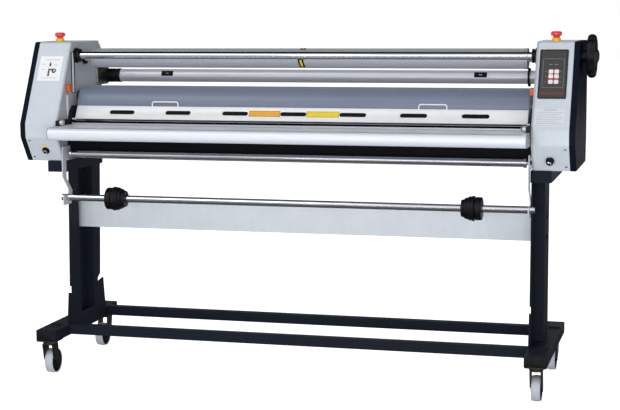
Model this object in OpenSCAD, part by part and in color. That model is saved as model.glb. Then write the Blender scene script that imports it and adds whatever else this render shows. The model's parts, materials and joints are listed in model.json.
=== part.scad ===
// Wide-format cold laminator on a wheeled stand
// X runs along the rollers, Y runs away from the operator, Z is up from the floor

/* [Rollers] */
// Length of the rubber face of both rollers
face_l = 1636; // [1200:4:2000]
// Outer diameter of both rollers
roller_d = 130; // [120:1:132]
// Thickness of the rubber sleeves
sleeve_t = 10; // [5:1:20]
// Wall of the steel roller cores
core_wall = 8; // [4:1:20]
// Diameter of the roller journals
journal_d = 30; // [20:1:34]
// Gap between the closed rollers
nip_gap = 0.6; // [0.3:0.1:2]
// Height of the lower roller axis above the stand
lower_axis_up = 70; // [66:1:76]
// How far the roller axes lie in front of the stand's middle
roller_front = 12; // [8:1:16]
// How far the upper roller lifts
lift = 28; // [10:1:28]

/* [Housings] */
// Height of the housings above the stand
tower_h = 424; // [418:1:440]
// Gap between a roller's rubber face and a side plate
face_gap = 22; // [20:1:40]
// Thickness of the side plates
plate_t = 6; // [4:1:8]
// Width of a light front cover beside its side plate
cover_w = 118; // [110:1:140]
// Width of a dark outer cover
outer_w = 20; // [10:1:30]
// Sheet thickness of the covers
cover_t = 2.5; // [1.5:0.5:4]
// Distance of the nose from the stand's middle
nose_reach = 212; // [208:1:216]
// Height of the nose's upright face
nose_h = 50; // [40:1:60]
// Height of the sloped face under the nose
low_slope_h = 88; // [80:1:95]
// Distance of the top's front edge from the stand's middle
top_front = 65; // [62:1:70]
// Distance of the top's rear edge from the stand's middle
top_back = 176; // [165:1:180]
// Distance of the back from the stand's middle
tower_back = 202; // [200:1:206]
// Size of the chamfer at the top's rear edge
back_chamfer = 26; // [10:1:30]
// Distance of the base's front edge from the stand's middle
base_front = 155; // [150:1:160]
// Distance of the base's rear edge from the stand's middle
base_back = 190; // [185:1:198]
// Radius of the nose's corners
nose_r = 22; // [10:1:24]
// Radius of the top's front edge
top_r = 14; // [6:1:20]
// Radius of the other corners
edge_r = 6; // [3:1:10]

/* [Stand] */
// Height of the casters
caster_h = 125; // [120:1:135]
// Diameter of the caster wheels
wheel_d = 88; // [70:1:90]
// Width of a caster tyre
tyre_w = 30; // [20:1:32]
// Distance of a wheel's axle from its swivel axis
trail = 26; // [20:1:32]
// Length of a foot
foot_l = 576; // [560:1:640]
// Width of a foot
foot_w = 76; // [70:1:80]
// Height of a foot
foot_h = 40; // [40:1:50]
// Height of a leg between foot and head tube
leg_h = 557; // [520:1:600]
// Width of a head tube
head_w = 70; // [60:1:76]
// Height of a head tube
head_h = 40; // [35:1:50]
// Wall of the stand's tubes
tube_wall = 3; // [2:0.5:4]
// Thickness of the leg's sheets
leg_t = 4; // [3:0.5:6]
// How far the stand's inner faces stand inside the side plates
stand_in = 6; // [5:1:10]
// Side of the square stretchers
stretcher = 35; // [30:1:40]
// Height of the tie panel
tie_h = 98; // [80:1:110]

/* [Media path] */
// Diameter of the upper supply shaft
supply_d = 70; // [60:1:72]
// Diameter of the rear shaft
rear_d = 48; // [40:1:52]
// Diameter of the lower idler bar
idler_d = 28; // [20:1:30]
// Diameter of the lower media shaft
media_d = 25; // [20:1:28]
// Largest diameter of a core chuck
chuck_d = 87; // [76:1:90]
// Distance of each chuck's shoulder from the middle
chuck_place = 649; // [300:1:700]
// Length of the feed table's nose from front to back
nose_l = 100; // [80:1:102]
// Thickness of the feed table's nose
table_h = 45; // [35:1:50]
// Distance of the feed table's front from the stand's middle
table_reach = 308; // [306:1:320]
// Height of the guard panel along its slope
guard_h = 53; // [48:1:58]
// Number of slots in the guard panel
slot_count = 7; // [3:1:9]

/* [Controls] */
// Diameter of the handwheel
handwheel_d = 147; // [120:1:160]
// Number of finger lobes on the handwheel
lobe_count = 8; // [5:1:12]
// Diameter of the lift cross shaft
cross_d = 26; // [20:1:26]
// Pitch radius of the lift pinions
lift_pitch_r = 12; // [12:1:14]
// Diameter of an emergency stop button
stop_d = 37; // [30:1:44]
// Width of a key
key_w = 15; // [10:1:16]
// Height of a key along the panel
key_l = 14; // [10:1:15]
// Diameter of the speed knob
speed_d = 28; // [20:1:34]

/* [Hidden] */
$fn = 48;

// Overrun of every cut
cut = 1;
// Radial clearance of a shaft in its bearing
run_gap = 0.05;
// Gap between pieces that pass each other
pass_gap = 0.3;

// Places across the machine
plate_x = face_l / 2 + face_gap;
plate_out_x = plate_x + plate_t;
cover_x = plate_out_x + cover_w;
outer_x = cover_x + outer_w;
foot_x = plate_x - stand_in;

// Places up the machine
foot_top = caster_h + foot_h;
leg_top = foot_top + leg_h;
base_z = leg_top + head_h;
tower_top = base_z + tower_h;
lower_axis_z = base_z + lower_axis_up;
upper_axis_z = lower_axis_z + roller_d + nip_gap;
nose_low_z = base_z + low_slope_h;
nose_top_z = nose_low_z + nose_h;

// Depth of a head tube in front of and behind the stand's middle
head_front = 160;
head_back = 178;

// Lift drive: the cross shaft sits under the top, racks stand behind its two toothed pinions
cross_drop = 49;
cross_z = tower_top - cross_drop;
cross_y = -34;
lift_teeth = 16;
rack_module = 2 * lift_pitch_r / lift_teeth;
rack_pitch = PI * rack_module;
rack_y = cross_y + lift_pitch_r;

// Supply shaft under the top, rear shaft behind the housings
supply_drop = 61;
supply_z = tower_top - supply_drop;
supply_y = 43;
supply_end_x = face_l / 2 - 20;
supply_ring_w = 10;
supply_ring_lip = 1;
supply_wall = 4;
supply_journal_r = 12;
rear_drop = 133;
rear_z = tower_top - rear_drop;
rear_y = 230;

// Bearing blocks of the upper roller and their guides
block_gap = 2;
block_w = 30;
block_x = plate_out_x + block_gap;
block_half = 35;
rack_w = 12;
rack_t = 14;
// How far the cross shaft is turned down beyond its pinions
pinion_neck = 5;
guide_t = 12;

// Handwheel: hub, rim and boss along the cross shaft
wheel_hub_r = 24;
wheel_hub_gap = 1;
wheel_hub_l = 16;
wheel_rim_t = 25;
wheel_boss_l = 17;
wheel_boss_r = 26;
wheel_lobe_depth = 7;
wheel_rim_w = 20;
wheel_web_t = 12;
wheel_x = outer_x + wheel_hub_gap;
wheel_rim_x = wheel_x + wheel_hub_l;
wheel_boss_x = wheel_rim_x + wheel_rim_t;
wheel_end_x = wheel_boss_x + wheel_boss_l;

// Screws on the outer covers
screw_head_r = 5;
screw_head_h = 3;

// The frame's origin lies under the middle of the whole object's box
box_mid_x = (wheel_end_x - outer_x - screw_head_h) / 2;
box_mid_y = (foot_l / 2 - table_reach) / 2;

// Moves every piece from the machine's middle to the frame's origin
module placed() {
    translate([-box_mid_x, -box_mid_y, 0]) children();
}

// The children and their mirror image on the other side
module both_sides() {
    children();
    mirror([1, 0, 0]) children();
}

// The children on the left side only
module left_side() {
    mirror([1, 0, 0]) children();
}

// An outline in Y and Z drawn along X
module along_x(from_x, to_x) {
    translate([from_x, 0, 0]) rotate([90, 0, 90]) linear_extrude(to_x - from_x) children();
}

// A round rod along X
module rod_x(from_x, to_x, r, y, z) {
    translate([from_x, y, z]) rotate([0, 90, 0]) cylinder(h = to_x - from_x, r = r);
}

// A box from its lowest to its highest corner
module block(low, high) {
    translate(low) cube(high - low);
}

// A square tube along X, open at its ends
module tube_x(from_x, to_x, low, high, wall) {
    difference() {
        block([from_x, low[0], low[1]], [to_x, high[0], high[1]]);
        block([from_x - cut, low[0] + wall, low[1] + wall], [to_x + cut, high[0] - wall, high[1] - wall]);
    }
}

function unit(v) = v / norm(v);

// Points of the arc that rounds corner b between a and c
function corner_arc(a, b, c, r, steps) =
    let (u = unit(a - b),
        w = unit(c - b),
        half = acos(u * w) / 2,
        centre = b + unit(u + w) * r / sin(half),
        start = b + u * r / tan(half) - centre,
        stop = b + w * r / tan(half) - centre,
        from = atan2(start.y, start.x),
        raw = atan2(stop.y, stop.x) - from,
        turn = raw > 180 ? raw - 360 : raw < -180 ? raw + 360 : raw)
    [for (i = [0:steps]) centre + r * [cos(from + turn * i / steps), sin(from + turn * i / steps)]];

// An outline with its corners rounded
function rounded(points, radii, steps = 6) =
    let (n = len(points))
    [for (i = [0:n - 1]) each radii[i] > 0
        ? corner_arc(points[(i + n - 1) % n], points[i], points[(i + 1) % n], radii[i], steps)
        : [points[i]]];

// An anticlockwise outline drawn in by a wall
function inset(points, wall) =
    let (n = len(points))
    [for (i = [0:n - 1])
        let (before = unit(points[i] - points[(i + n - 1) % n]),
            after = unit(points[(i + 1) % n] - points[i]),
            n1 = [-before.y, before.x],
            n2 = [-after.y, after.x])
        points[i] + (n1 + n2) * wall / (1 + n1 * n2)];

// Outline of a spur gear with straight-sided teeth
tooth_root_share = 0.31;
tooth_tip_share = 0.12;
tooth_add_share = 0.8;
tooth_ded_share = 1.25;
function gear_points(teeth, pitch_r, module_size, phase) =
    [for (i = [0:teeth - 1], side = [0:3])
        let (step = 360 / teeth,
            half = (side == 0 || side == 3 ? tooth_root_share : tooth_tip_share) * step,
            angle = phase + i * step + (side < 2 ? -half : half),
            r = pitch_r + module_size * (side == 0 || side == 3 ? -tooth_ded_share : tooth_add_share))
        r * [cos(angle), sin(angle)]];

// Side outline of the housings
tower_points = [[-base_front, base_z], [base_back, base_z], [tower_back, base_z + low_slope_h],
    [tower_back, tower_top - back_chamfer], [top_back, tower_top], [-top_front, tower_top],
    [-nose_reach, nose_top_z], [-nose_reach, nose_low_z]];
tower_radii = [edge_r, edge_r, edge_r, edge_r, edge_r, top_r, nose_r, nose_r];

// The outline drawn in by a wall, with its radii drawn in too
module tower_outline(wall) {
    polygon(rounded(inset(tower_points, wall), [for (r = tower_radii) max(r - wall, 0)]));
}

// Places on the upper slope, measured down from the top's front edge, with Z outwards
upper_slope = atan2(tower_top - nose_top_z, nose_reach - top_front);
module on_upper_slope(x, down) {
    translate([x, -top_front, tower_top]) rotate([upper_slope, 0, 0]) translate([0, -down, 0]) children();
}

// Places on the lower slope, measured down from the nose's lower edge, with Z outwards
lower_slope = 90 + atan2(nose_reach - base_front, low_slope_h);
low_slope_l = norm([nose_reach - base_front, low_slope_h]);
low_place_share = 0.55;
module on_lower_slope(x) {
    translate([x, -nose_reach, nose_low_z]) rotate([lower_slope, 0, 0])
        translate([0, -low_slope_l * low_place_share, 0]) children();
}

// Feet: closed-ended tubes on each side
module feet() color([0.09, 0.09, 0.11]) placed() both_sides() {
    difference() {
        block([foot_x, -foot_l / 2, caster_h], [foot_x + foot_w, foot_l / 2, foot_top]);
        block([foot_x + tube_wall, -foot_l / 2 - cut, caster_h + tube_wall],
            [foot_x + foot_w - tube_wall, foot_l / 2 - tube_wall, foot_top - tube_wall]);
    }
    // Plastic plug in the open front end
    block([foot_x + tube_wall, -foot_l / 2, caster_h + tube_wall],
        [foot_x + foot_w - tube_wall, tube_wall - foot_l / 2, foot_top - tube_wall]);
}

// Leg: hat section with an inner sheet, hooks near the floor and a welded head tube
leg_front = 176;
leg_back = 178;
leg_depth = leg_front + leg_back;
web_x = foot_x + foot_w / 2;
channel_front = 58;
channel_back = 74;
window_low = 25;
leg_shares = [[0, 0], [1, 0], [0.98, 0.05], [0.944, 0.214], [0.92, 0.214], [0.794, 0.2],
    [0.794, 0.225], [0.862, 0.249], [0.884, 0.475], [0.927, 1], [0.121, 1], [0.079, 0.249],
    [0.186, 0.226], [0.181, 0.187], [0.045, 0.209], [0.012, 0.06]];
module leg_sheet() {
    difference() {
        polygon([for (p = leg_shares) [-leg_front + p[0] * leg_depth, foot_top + p[1] * leg_h]]);
        translate([-channel_front + leg_t, foot_top + window_low])
            square([channel_front + channel_back - 2 * leg_t, leg_h - window_low + cut]);
    }
}
// Bolts that hold the tie panel to the webs
tie_low_z = foot_top + 340;
tie_bolt_in = 13;
tie_bolt_zs = [tie_low_z + tie_bolt_in, tie_low_z + tie_h - tie_bolt_in];
bolt_r = 4;
bolt_hole_r = 4.2;
module legs() color([0.09, 0.09, 0.11]) placed() both_sides() difference() {
    union() {
        along_x(foot_x, foot_x + leg_t) leg_sheet();
        block([foot_x, -channel_front, foot_top], [web_x, -channel_front + leg_t, leg_top]);
        block([foot_x, channel_back - leg_t, foot_top], [web_x, channel_back, leg_top]);
        block([web_x - leg_t, -channel_front, foot_top], [web_x, channel_back, leg_top]);
        difference() {
            block([foot_x, -head_front, leg_top], [foot_x + head_w, head_back, base_z]);
            block([foot_x + tube_wall, -head_front + tube_wall, leg_top + tube_wall],
                [foot_x + head_w - tube_wall, head_back + cut, base_z - tube_wall]);
        }
    }
    for (z = tie_bolt_zs) rod_x(web_x - leg_t - cut, web_x + cut, bolt_hole_r, 0, z);
}

// Stretchers between the feet, at their own distances from the feet's ends
stretcher_in_front = 132;
stretcher_in_back = 89;
stretcher_front = foot_l / 2 - stretcher_in_front;
stretcher_back = foot_l / 2 - stretcher_in_back;
module stretchers() color([0.1, 0.1, 0.12]) placed() for (y = [-stretcher_front, stretcher_back])
    tube_x(-foot_x, foot_x, [y - stretcher / 2, foot_top - stretcher],
        [y + stretcher / 2, foot_top], tube_wall);

// Tie panel: folded sheet between the two webs
tie_t = 2;
tie_half = 20;
module tie_panel() color([0.72, 0.75, 0.8]) placed() difference() {
    union() {
        block([leg_t - web_x, -tie_half, tie_low_z], [web_x - leg_t, tie_t - tie_half, tie_low_z + tie_h]);
        for (z = [tie_low_z, tie_low_z + tie_h - tie_t])
            block([leg_t - web_x, -tie_half, z], [web_x - leg_t, tie_half, z + tie_t]);
        both_sides() block([web_x - leg_t - tie_t, -tie_half, tie_low_z],
            [web_x - leg_t, tie_half, tie_low_z + tie_h]);
    }
    for (z = tie_bolt_zs) rod_x(-web_x, web_x, bolt_hole_r, 0, z);
}

// Tie bolts with nuts, and the screws of the outer covers
bolt_head_r = 7;
bolt_head_h = 6;
bolt_grip = leg_t + tie_t;
cover_screw_shares = [[0.1, 0.12], [0.86, 0.1], [0.88, 0.84], [0.5, 0.88], [0.13, 0.42]];
module fasteners() color([0.15, 0.15, 0.16]) placed() {
    both_sides() for (z = tie_bolt_zs) {
        rod_x(web_x, web_x + bolt_head_h, bolt_head_r, 0, z);
        rod_x(web_x - bolt_grip, web_x, bolt_r, 0, z);
        rod_x(web_x - bolt_grip - bolt_head_h, web_x - bolt_grip, bolt_head_r, 0, z);
    }
    both_sides() for (p = cover_screw_shares)
        rod_x(outer_x, outer_x + screw_head_h, screw_head_r,
            -nose_reach + p[0] * (nose_reach + tower_back), base_z + p[1] * tower_h);
}

// Casters: each is a plate, a swivelling fork and a wheel
caster_in = 33;
caster_x = foot_x + foot_w / 2;
caster_y = foot_l / 2 - caster_in;
caster_plate_t = 3;
caster_plate_half_x = 36;
caster_plate_half_y = 32;
kingpin_r = 6;
axle_r = 6;
axle_z = wheel_d / 2;
module at_caster(side, end) {
    translate([side * caster_x, end * caster_y, 0]) children();
}
module caster_plates() color([0.55, 0.53, 0.45]) placed() for (side = [-1, 1], end = [-1, 1])
    at_caster(side, end) difference() {
        block([-caster_plate_half_x, -caster_plate_half_y, caster_h - caster_plate_t],
            [caster_plate_half_x, caster_plate_half_y, caster_h]);
        translate([0, 0, caster_h - caster_plate_t - cut])
            cylinder(h = caster_plate_t + 2 * cut, r = kingpin_r + run_gap);
    }

// Fork: race, crown, two cheeks, axle and kingpin; it trails towards the machine's middle
race_r = 25;
race_h = 9;
crown_t = 3;
cheek_t = 3;
cheek_gap = 2;
crown_half = 25;
cheek_boss_r = 12;
crown_z = caster_h - caster_plate_t - pass_gap - race_h;
module cheek() {
    polygon([[-crown_half, crown_z], [-crown_half + cheek_boss_r, axle_z + cheek_boss_r],
        [trail - cheek_boss_r, axle_z], [trail + cheek_boss_r, axle_z], [crown_half, crown_z]]);
    translate([trail, axle_z]) circle(r = cheek_boss_r);
}
module fork(side, end) color([0.58, 0.56, 0.48]) placed() at_caster(side, end) scale([1, -end, 1]) {
    translate([0, 0, crown_z]) cylinder(h = race_h, r = race_r);
    translate([0, 0, crown_z]) cylinder(h = race_h + caster_plate_t, r = kingpin_r);
    cheek_x = tyre_w / 2 + cheek_gap;
    block([-cheek_x - cheek_t, -crown_half, crown_z - crown_t], [cheek_x + cheek_t, crown_half, crown_z]);
    both_sides() along_x(cheek_x, cheek_x + cheek_t) cheek();
    rod_x(-cheek_x, cheek_x, axle_r, trail, axle_z);
}
module front_left_fork() fork(-1, -1);
module front_right_fork() fork(1, -1);
module rear_left_fork() fork(-1, 1);
module rear_right_fork() fork(1, 1);

// Wheel: rounded tyre on a dished hub
tyre_t = 13;
tyre_round = 7;
hub_dish = 6;
hub_boss_r = 11;
hub_half = tyre_w / 2 + cheek_gap - pass_gap;
module caster_wheel(side, end) color([0.75, 0.76, 0.78]) placed() at_caster(side, end)
    translate([0, -end * trail, axle_z]) rotate([0, 90, 0]) {
        rotate_extrude() polygon(rounded([[wheel_d / 2 - tyre_t, -tyre_w / 2], [wheel_d / 2, -tyre_w / 2],
            [wheel_d / 2, tyre_w / 2], [wheel_d / 2 - tyre_t, tyre_w / 2]], [0, tyre_round, tyre_round, 0]));
        rotate_extrude() polygon([[axle_r + run_gap, -hub_half], [hub_boss_r, -hub_half],
            [hub_boss_r, -hub_dish], [wheel_d / 2 - tyre_t, -hub_dish], [wheel_d / 2 - tyre_t, hub_dish],
            [hub_boss_r, hub_dish], [hub_boss_r, hub_half], [axle_r + run_gap, hub_half]]);
    }
module front_left_wheel() caster_wheel(-1, -1);
module front_right_wheel() caster_wheel(1, -1);
module rear_left_wheel() caster_wheel(-1, 1);
module rear_right_wheel() caster_wheel(1, 1);

// Bearing seats of the side plates
cross_seat_r = 19;
supply_seat_r = 18;
lower_seat_r = 28;
idler_seat_r = 10;
idler_journal_r = 6;
idler_y = -150;
idler_z = base_z + 25;
block_slot_gap = 3;

// Side plates with the guides of the bearing blocks
guide_low = block_half + 12;
guide_high = block_half + 38;
module side_plates() color([0.52, 0.54, 0.57]) placed() both_sides() {
    difference() {
        along_x(plate_x, plate_out_x) tower_outline(0);
        slot_r = journal_d / 2 + block_slot_gap;
        for (z = [upper_axis_z, upper_axis_z + lift])
            rod_x(plate_x - cut, plate_out_x + cut, slot_r, -roller_front, z);
        block([plate_x - cut, -roller_front - slot_r, upper_axis_z],
            [plate_out_x + cut, -roller_front + slot_r, upper_axis_z + lift]);
        rod_x(plate_x - cut, plate_out_x + cut, lower_seat_r, -roller_front, lower_axis_z);
        rod_x(plate_x - cut, plate_out_x + cut, cross_seat_r, cross_y, cross_z);
        rod_x(plate_x - cut, plate_out_x + cut, supply_seat_r, supply_y, supply_z);
        rod_x(plate_x - cut, plate_out_x + cut, idler_seat_r, idler_y, idler_z);
    }
    difference() {
        guide_half = block_half + pass_gap + guide_t;
        block([plate_out_x, -roller_front - guide_half, upper_axis_z - guide_low],
            [block_x + block_w, -roller_front + guide_half, upper_axis_z + guide_high]);
        block([plate_out_x - cut, -roller_front - block_half - pass_gap, upper_axis_z - block_half - pass_gap],
            [block_x + block_w + cut, -roller_front + block_half + pass_gap, upper_axis_z + guide_high + cut]);
    }
}

// Front covers: the housing's wrap-around sheet, with each side's own holes
stop_x = (plate_out_x + cover_x) / 2 - 5;
stop_y = -32;
stop_stem_r = 8;
stop_hole_r = 10;
socket_r = 10.5;
speed_stem_r = 3;
speed_hole_r = 4;
control_x = stop_x;
module cover_shell() difference() {
    along_x(plate_out_x, cover_x) tower_outline(0);
    along_x(plate_out_x - cut, cover_x + cut) tower_outline(cover_t);
    translate([stop_x, stop_y, tower_top - cover_t - cut]) cylinder(h = cover_t + 2 * cut, r = stop_hole_r);
}
module left_front_cover() color([0.83, 0.86, 0.89]) placed() left_side() difference() {
    cover_shell();
    on_lower_slope(control_x) translate([0, 0, -cover_t - cut]) cylinder(h = cover_t + 2 * cut, r = socket_r);
}
module right_front_cover() color([0.83, 0.86, 0.89]) placed() difference() {
    cover_shell();
    on_lower_slope(control_x) translate([0, 0, -cover_t - cut])
        cylinder(h = cover_t + 2 * cut, r = speed_hole_r);
    on_upper_slope(control_x, 0) block([-panel_w / 2 + panel_lap, -panel_down - panel_l + panel_lap, -cover_t - cut],
        [panel_w / 2 - panel_lap, -panel_down - panel_lap, cut]);
}

// Outer covers: dark trays that close the housings; the right one passes the cross shaft
module outer_shell() difference() {
    along_x(cover_x, outer_x) tower_outline(0);
    along_x(cover_x - cut, outer_x - cover_t) tower_outline(cover_t);
}
module outer_covers() color([0.12, 0.14, 0.18]) placed() {
    left_side() outer_shell();
    difference() {
        outer_shell();
        rod_x(cover_x, outer_x + cut, cross_d / 2 + cut, cross_y, cross_z);
    }
}

// Crossbeam and apron between the side plates
beam_y = 125;
beam_z = base_z + 28;
beam_size = 40;
module rear_crossbeam() color([0.2, 0.2, 0.22]) placed()
    tube_x(-plate_x, plate_x, [beam_y, beam_z], [beam_y + beam_size, beam_z + beam_size], tube_wall);
apron_y = -126;
apron_low = base_z + 16;
apron_high = base_z + 86;
apron_t = 2;
apron_fold = 30;
module lower_apron() color([0.06, 0.06, 0.07]) placed() difference() {
    union() {
        block([-plate_x, apron_y, apron_low], [plate_x, apron_y + apron_t, apron_high]);
        block([-plate_x, apron_y, apron_high - apron_t], [plate_x, apron_y + apron_fold, apron_high]);
    }
    // Notches in its lower corners that pass the heads of the arms
    both_sides() block([arm_x - pass_gap, apron_y - cut, apron_low - cut],
        [plate_x + cut, apron_y + apron_t + cut, media_z + arm_head_top + pass_gap]);
}

// Emergency stops: yellow collars on the tops, red buttons through them
collar_r = 15.5;
collar_h = 12;
stop_travel = 4;
stop_gap = 0.6;
stop_h = 17;
stop_stem_l = 40;
stop_round = 5;
module estop_collars() color([0.95, 0.75, 0.1]) placed() both_sides()
    translate([stop_x, stop_y, tower_top]) difference() {
        cylinder(h = collar_h, r = collar_r);
        translate([0, 0, -cut]) cylinder(h = collar_h + 2 * cut, r = stop_stem_r + run_gap);
    }
module estop() translate([stop_x, stop_y, tower_top]) {
    stop_low = collar_h + stop_travel + stop_gap;
    translate([0, 0, stop_low]) rotate_extrude() polygon(rounded([[0, 0], [stop_d / 2 - stop_gap, 0],
        [stop_d / 2, stop_h - stop_round], [stop_d / 2, stop_h], [0, stop_h]],
        [0, stop_gap, 0, stop_round, 0]));
    translate([0, 0, stop_low - stop_stem_l]) cylinder(h = stop_stem_l + stop_gap, r = stop_stem_r);
}
module left_estop() color([0.8, 0.1, 0.08]) placed() left_side() estop();
module right_estop() color([0.8, 0.1, 0.08]) placed() estop();

// Control panel on the right upper slope, with six keys
panel_w = 94;
panel_l = 178;
panel_t = 2.5;
panel_down = 30;
panel_r = 4;
panel_lap = 14;
key_r = 3;
key_gap = 0.25;
key_rise = 2;
key_flange = 1.5;
key_flange_t = 1.2;
key_column = 18.5;
key_x = -7;
key_rows = [81, 98, 118];
module key_place(index) {
    on_upper_slope(control_x + key_x + (index % 2) * key_column, panel_down + key_rows[floor(index / 2)])
        children();
}
module key_outline(grow) {
    polygon(rounded([[-key_w / 2 - grow, -key_l / 2 - grow], [key_w / 2 + grow, -key_l / 2 - grow],
        [key_w / 2 + grow, key_l / 2 + grow], [-key_w / 2 - grow, key_l / 2 + grow]],
        [key_r, key_r, key_r, key_r], 4));
}
module control_panel() color([0.03, 0.03, 0.04]) placed() difference() {
    on_upper_slope(control_x, 0) linear_extrude(panel_t)
        polygon(rounded([[-panel_w / 2, -panel_down - panel_l], [panel_w / 2, -panel_down - panel_l],
            [panel_w / 2, -panel_down], [-panel_w / 2, -panel_down]], [panel_r, panel_r, panel_r, panel_r]));
    for (i = [0:5]) key_place(i) translate([0, 0, -cut]) linear_extrude(panel_t + 2 * cut) key_outline(key_gap);
}
module key(index) color([0.92, 0.92, 0.93]) placed() key_place(index) {
    linear_extrude(panel_t + key_rise) key_outline(0);
    translate([0, 0, -pass_gap - key_flange_t]) linear_extrude(key_flange_t) key_outline(key_flange);
    translate([0, 0, -pass_gap]) linear_extrude(pass_gap) key_outline(0);
}
module key_1() key(0);
module key_2() key(1);
module key_3() key(2);
module key_4() key(3);
module key_5() key(4);
module key_6() key(5);

// Flanged bearings in the side plates
flange_t = 8;
cross_flange_r = 27;
supply_flange_r = 22;
lower_flange_r = 38;
lower_flange_t = 20;
idler_flange_r = 14;
idler_flange_t = 5;
module bearing(flange_from, flange_to, flange_r, seat_r, bore_r, y, z) difference() {
    union() {
        rod_x(flange_from, flange_to, flange_r, y, z);
        rod_x(plate_x, plate_out_x, seat_r, y, z);
    }
    rod_x(min(flange_from, plate_x) - cut, max(flange_to, plate_out_x) + cut, bore_r + run_gap, y, z);
}
module shaft_bearings() color([0.07, 0.07, 0.08]) placed() both_sides() {
    bearing(plate_x - flange_t, plate_x, cross_flange_r, cross_seat_r, cross_d / 2, cross_y, cross_z);
    bearing(plate_x - flange_t, plate_x, supply_flange_r, supply_seat_r, supply_journal_r,
        supply_y, supply_z);
    bearing(plate_out_x, plate_out_x + lower_flange_t, lower_flange_r, lower_seat_r, journal_d / 2,
        -roller_front, lower_axis_z);
    bearing(plate_x - idler_flange_t, plate_x, idler_flange_r, idler_seat_r, idler_journal_r,
        idler_y, idler_z);
}

// Drive in the left housing: gear on the lower roller shaft, pinion on the gear motor
gear_module = 3;
gear_teeth = 32;
pinion_teeth = 12;
gear_r = gear_module * gear_teeth / 2;
pinion_r = gear_module * pinion_teeth / 2;
gear_w = 16;
gear_x = plate_out_x + 54;
pinion_y = gear_r + pinion_r - roller_front;
pinion_shaft_r = 7;
motor_gap = 3;
gearbox_front = 14;
gearbox_back = 58;
gearbox_half = 34;
motor_r = 32;
motor_l = 135;
motor_back = 26;
gearbox_x = gear_x - motor_gap;
module drive_pinion() color([0.6, 0.6, 0.62]) placed() left_side() {
    translate([gear_x, pinion_y, lower_axis_z]) rotate([90, 0, 90]) linear_extrude(gear_w)
        polygon(gear_points(pinion_teeth, pinion_r, gear_module, 180 / pinion_teeth));
    rod_x(plate_out_x + motor_gap, gear_x, pinion_shaft_r, pinion_y, lower_axis_z);
}
module gear_motor() color([0.45, 0.46, 0.48]) placed() left_side() difference() {
    union() {
        block([plate_out_x, pinion_y - gearbox_front, lower_axis_z - gearbox_half],
            [gearbox_x, pinion_y + gearbox_back, lower_axis_z + gearbox_half]);
        translate([plate_out_x + motor_r + cut, pinion_y + motor_back, lower_axis_z + gearbox_half])
            cylinder(h = motor_l, r = motor_r);
    }
    rod_x(plate_out_x + motor_gap - cut, gearbox_x + cut, pinion_shaft_r + run_gap, pinion_y, lower_axis_z);
}

// Rollers: hollow steel cores with journals, and their rubber sleeves
core_end_t = 14;
centre_r = 5;
core_r = roller_d / 2 - sleeve_t;
sleeve_in = 2;
module roller_core(axis_z, left_end, right_end) difference() {
    union() {
        rod_x(-face_l / 2, face_l / 2, core_r, -roller_front, axis_z);
        rod_x(-left_end, right_end, journal_d / 2, -roller_front, axis_z);
    }
    rod_x(core_end_t - face_l / 2, face_l / 2 - core_end_t, core_r - core_wall, -roller_front, axis_z);
    rod_x(-left_end - cut, right_end + cut, centre_r, -roller_front, axis_z);
}
module roller_sleeve(axis_z) difference() {
    rod_x(-face_l / 2, face_l / 2, roller_d / 2, -roller_front, axis_z);
    rod_x(-face_l / 2 - cut, face_l / 2 + cut, core_r, -roller_front, axis_z);
}
module upper_roller_shaft() color([0.6, 0.61, 0.63]) placed()
    roller_core(upper_axis_z, block_x + block_w, block_x + block_w);
module upper_roller_sleeve() color([0.42, 0.46, 0.54]) placed() roller_sleeve(upper_axis_z);
module lower_roller_sleeve() color([0.42, 0.46, 0.54]) placed() roller_sleeve(lower_axis_z);
module lower_roller_shaft() color([0.6, 0.61, 0.63]) placed() {
    roller_core(lower_axis_z, gear_x, plate_out_x + lower_flange_t);
    left_side() translate([gear_x, -roller_front, lower_axis_z]) rotate([90, 0, 90]) linear_extrude(gear_w)
        polygon(gear_points(gear_teeth, gear_r, gear_module, 0));
}

// Bearing blocks that slide in the guides, each with a rack up to the cross shaft
rack_low_teeth = 9;
rack_high_teeth = 2;
rack_top = cross_z + (rack_high_teeth + 0.5) * rack_pitch;
rack_teeth_x = block_x + (block_w - rack_w) / 2;
function rack_tooth(z) = [
    [rack_y + tooth_ded_share * rack_module, z - tooth_root_share * rack_pitch],
    [rack_y - tooth_add_share * rack_module, z - tooth_tip_share * rack_pitch],
    [rack_y - tooth_add_share * rack_module, z + tooth_tip_share * rack_pitch],
    [rack_y + tooth_ded_share * rack_module, z + tooth_root_share * rack_pitch]];
rack_root_y = rack_y + tooth_ded_share * rack_module;
module upper_bearing_blocks() color([0.35, 0.36, 0.38]) placed() both_sides() {
    difference() {
        block([block_x, -roller_front - block_half, upper_axis_z - block_half],
            [block_x + block_w, -roller_front + block_half, upper_axis_z + block_half]);
        rod_x(block_x - cut, block_x + block_w + cut, journal_d / 2 + run_gap, -roller_front, upper_axis_z);
    }
    along_x(rack_teeth_x, rack_teeth_x + rack_w) {
        polygon([[rack_root_y, upper_axis_z + block_half], [rack_root_y + rack_t, upper_axis_z + block_half],
            [rack_root_y + rack_t, rack_top], [rack_root_y, rack_top]]);
        for (i = [-rack_low_teeth:rack_high_teeth - 1]) polygon(rack_tooth(cross_z + (i + 0.5) * rack_pitch));
    }
}

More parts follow.
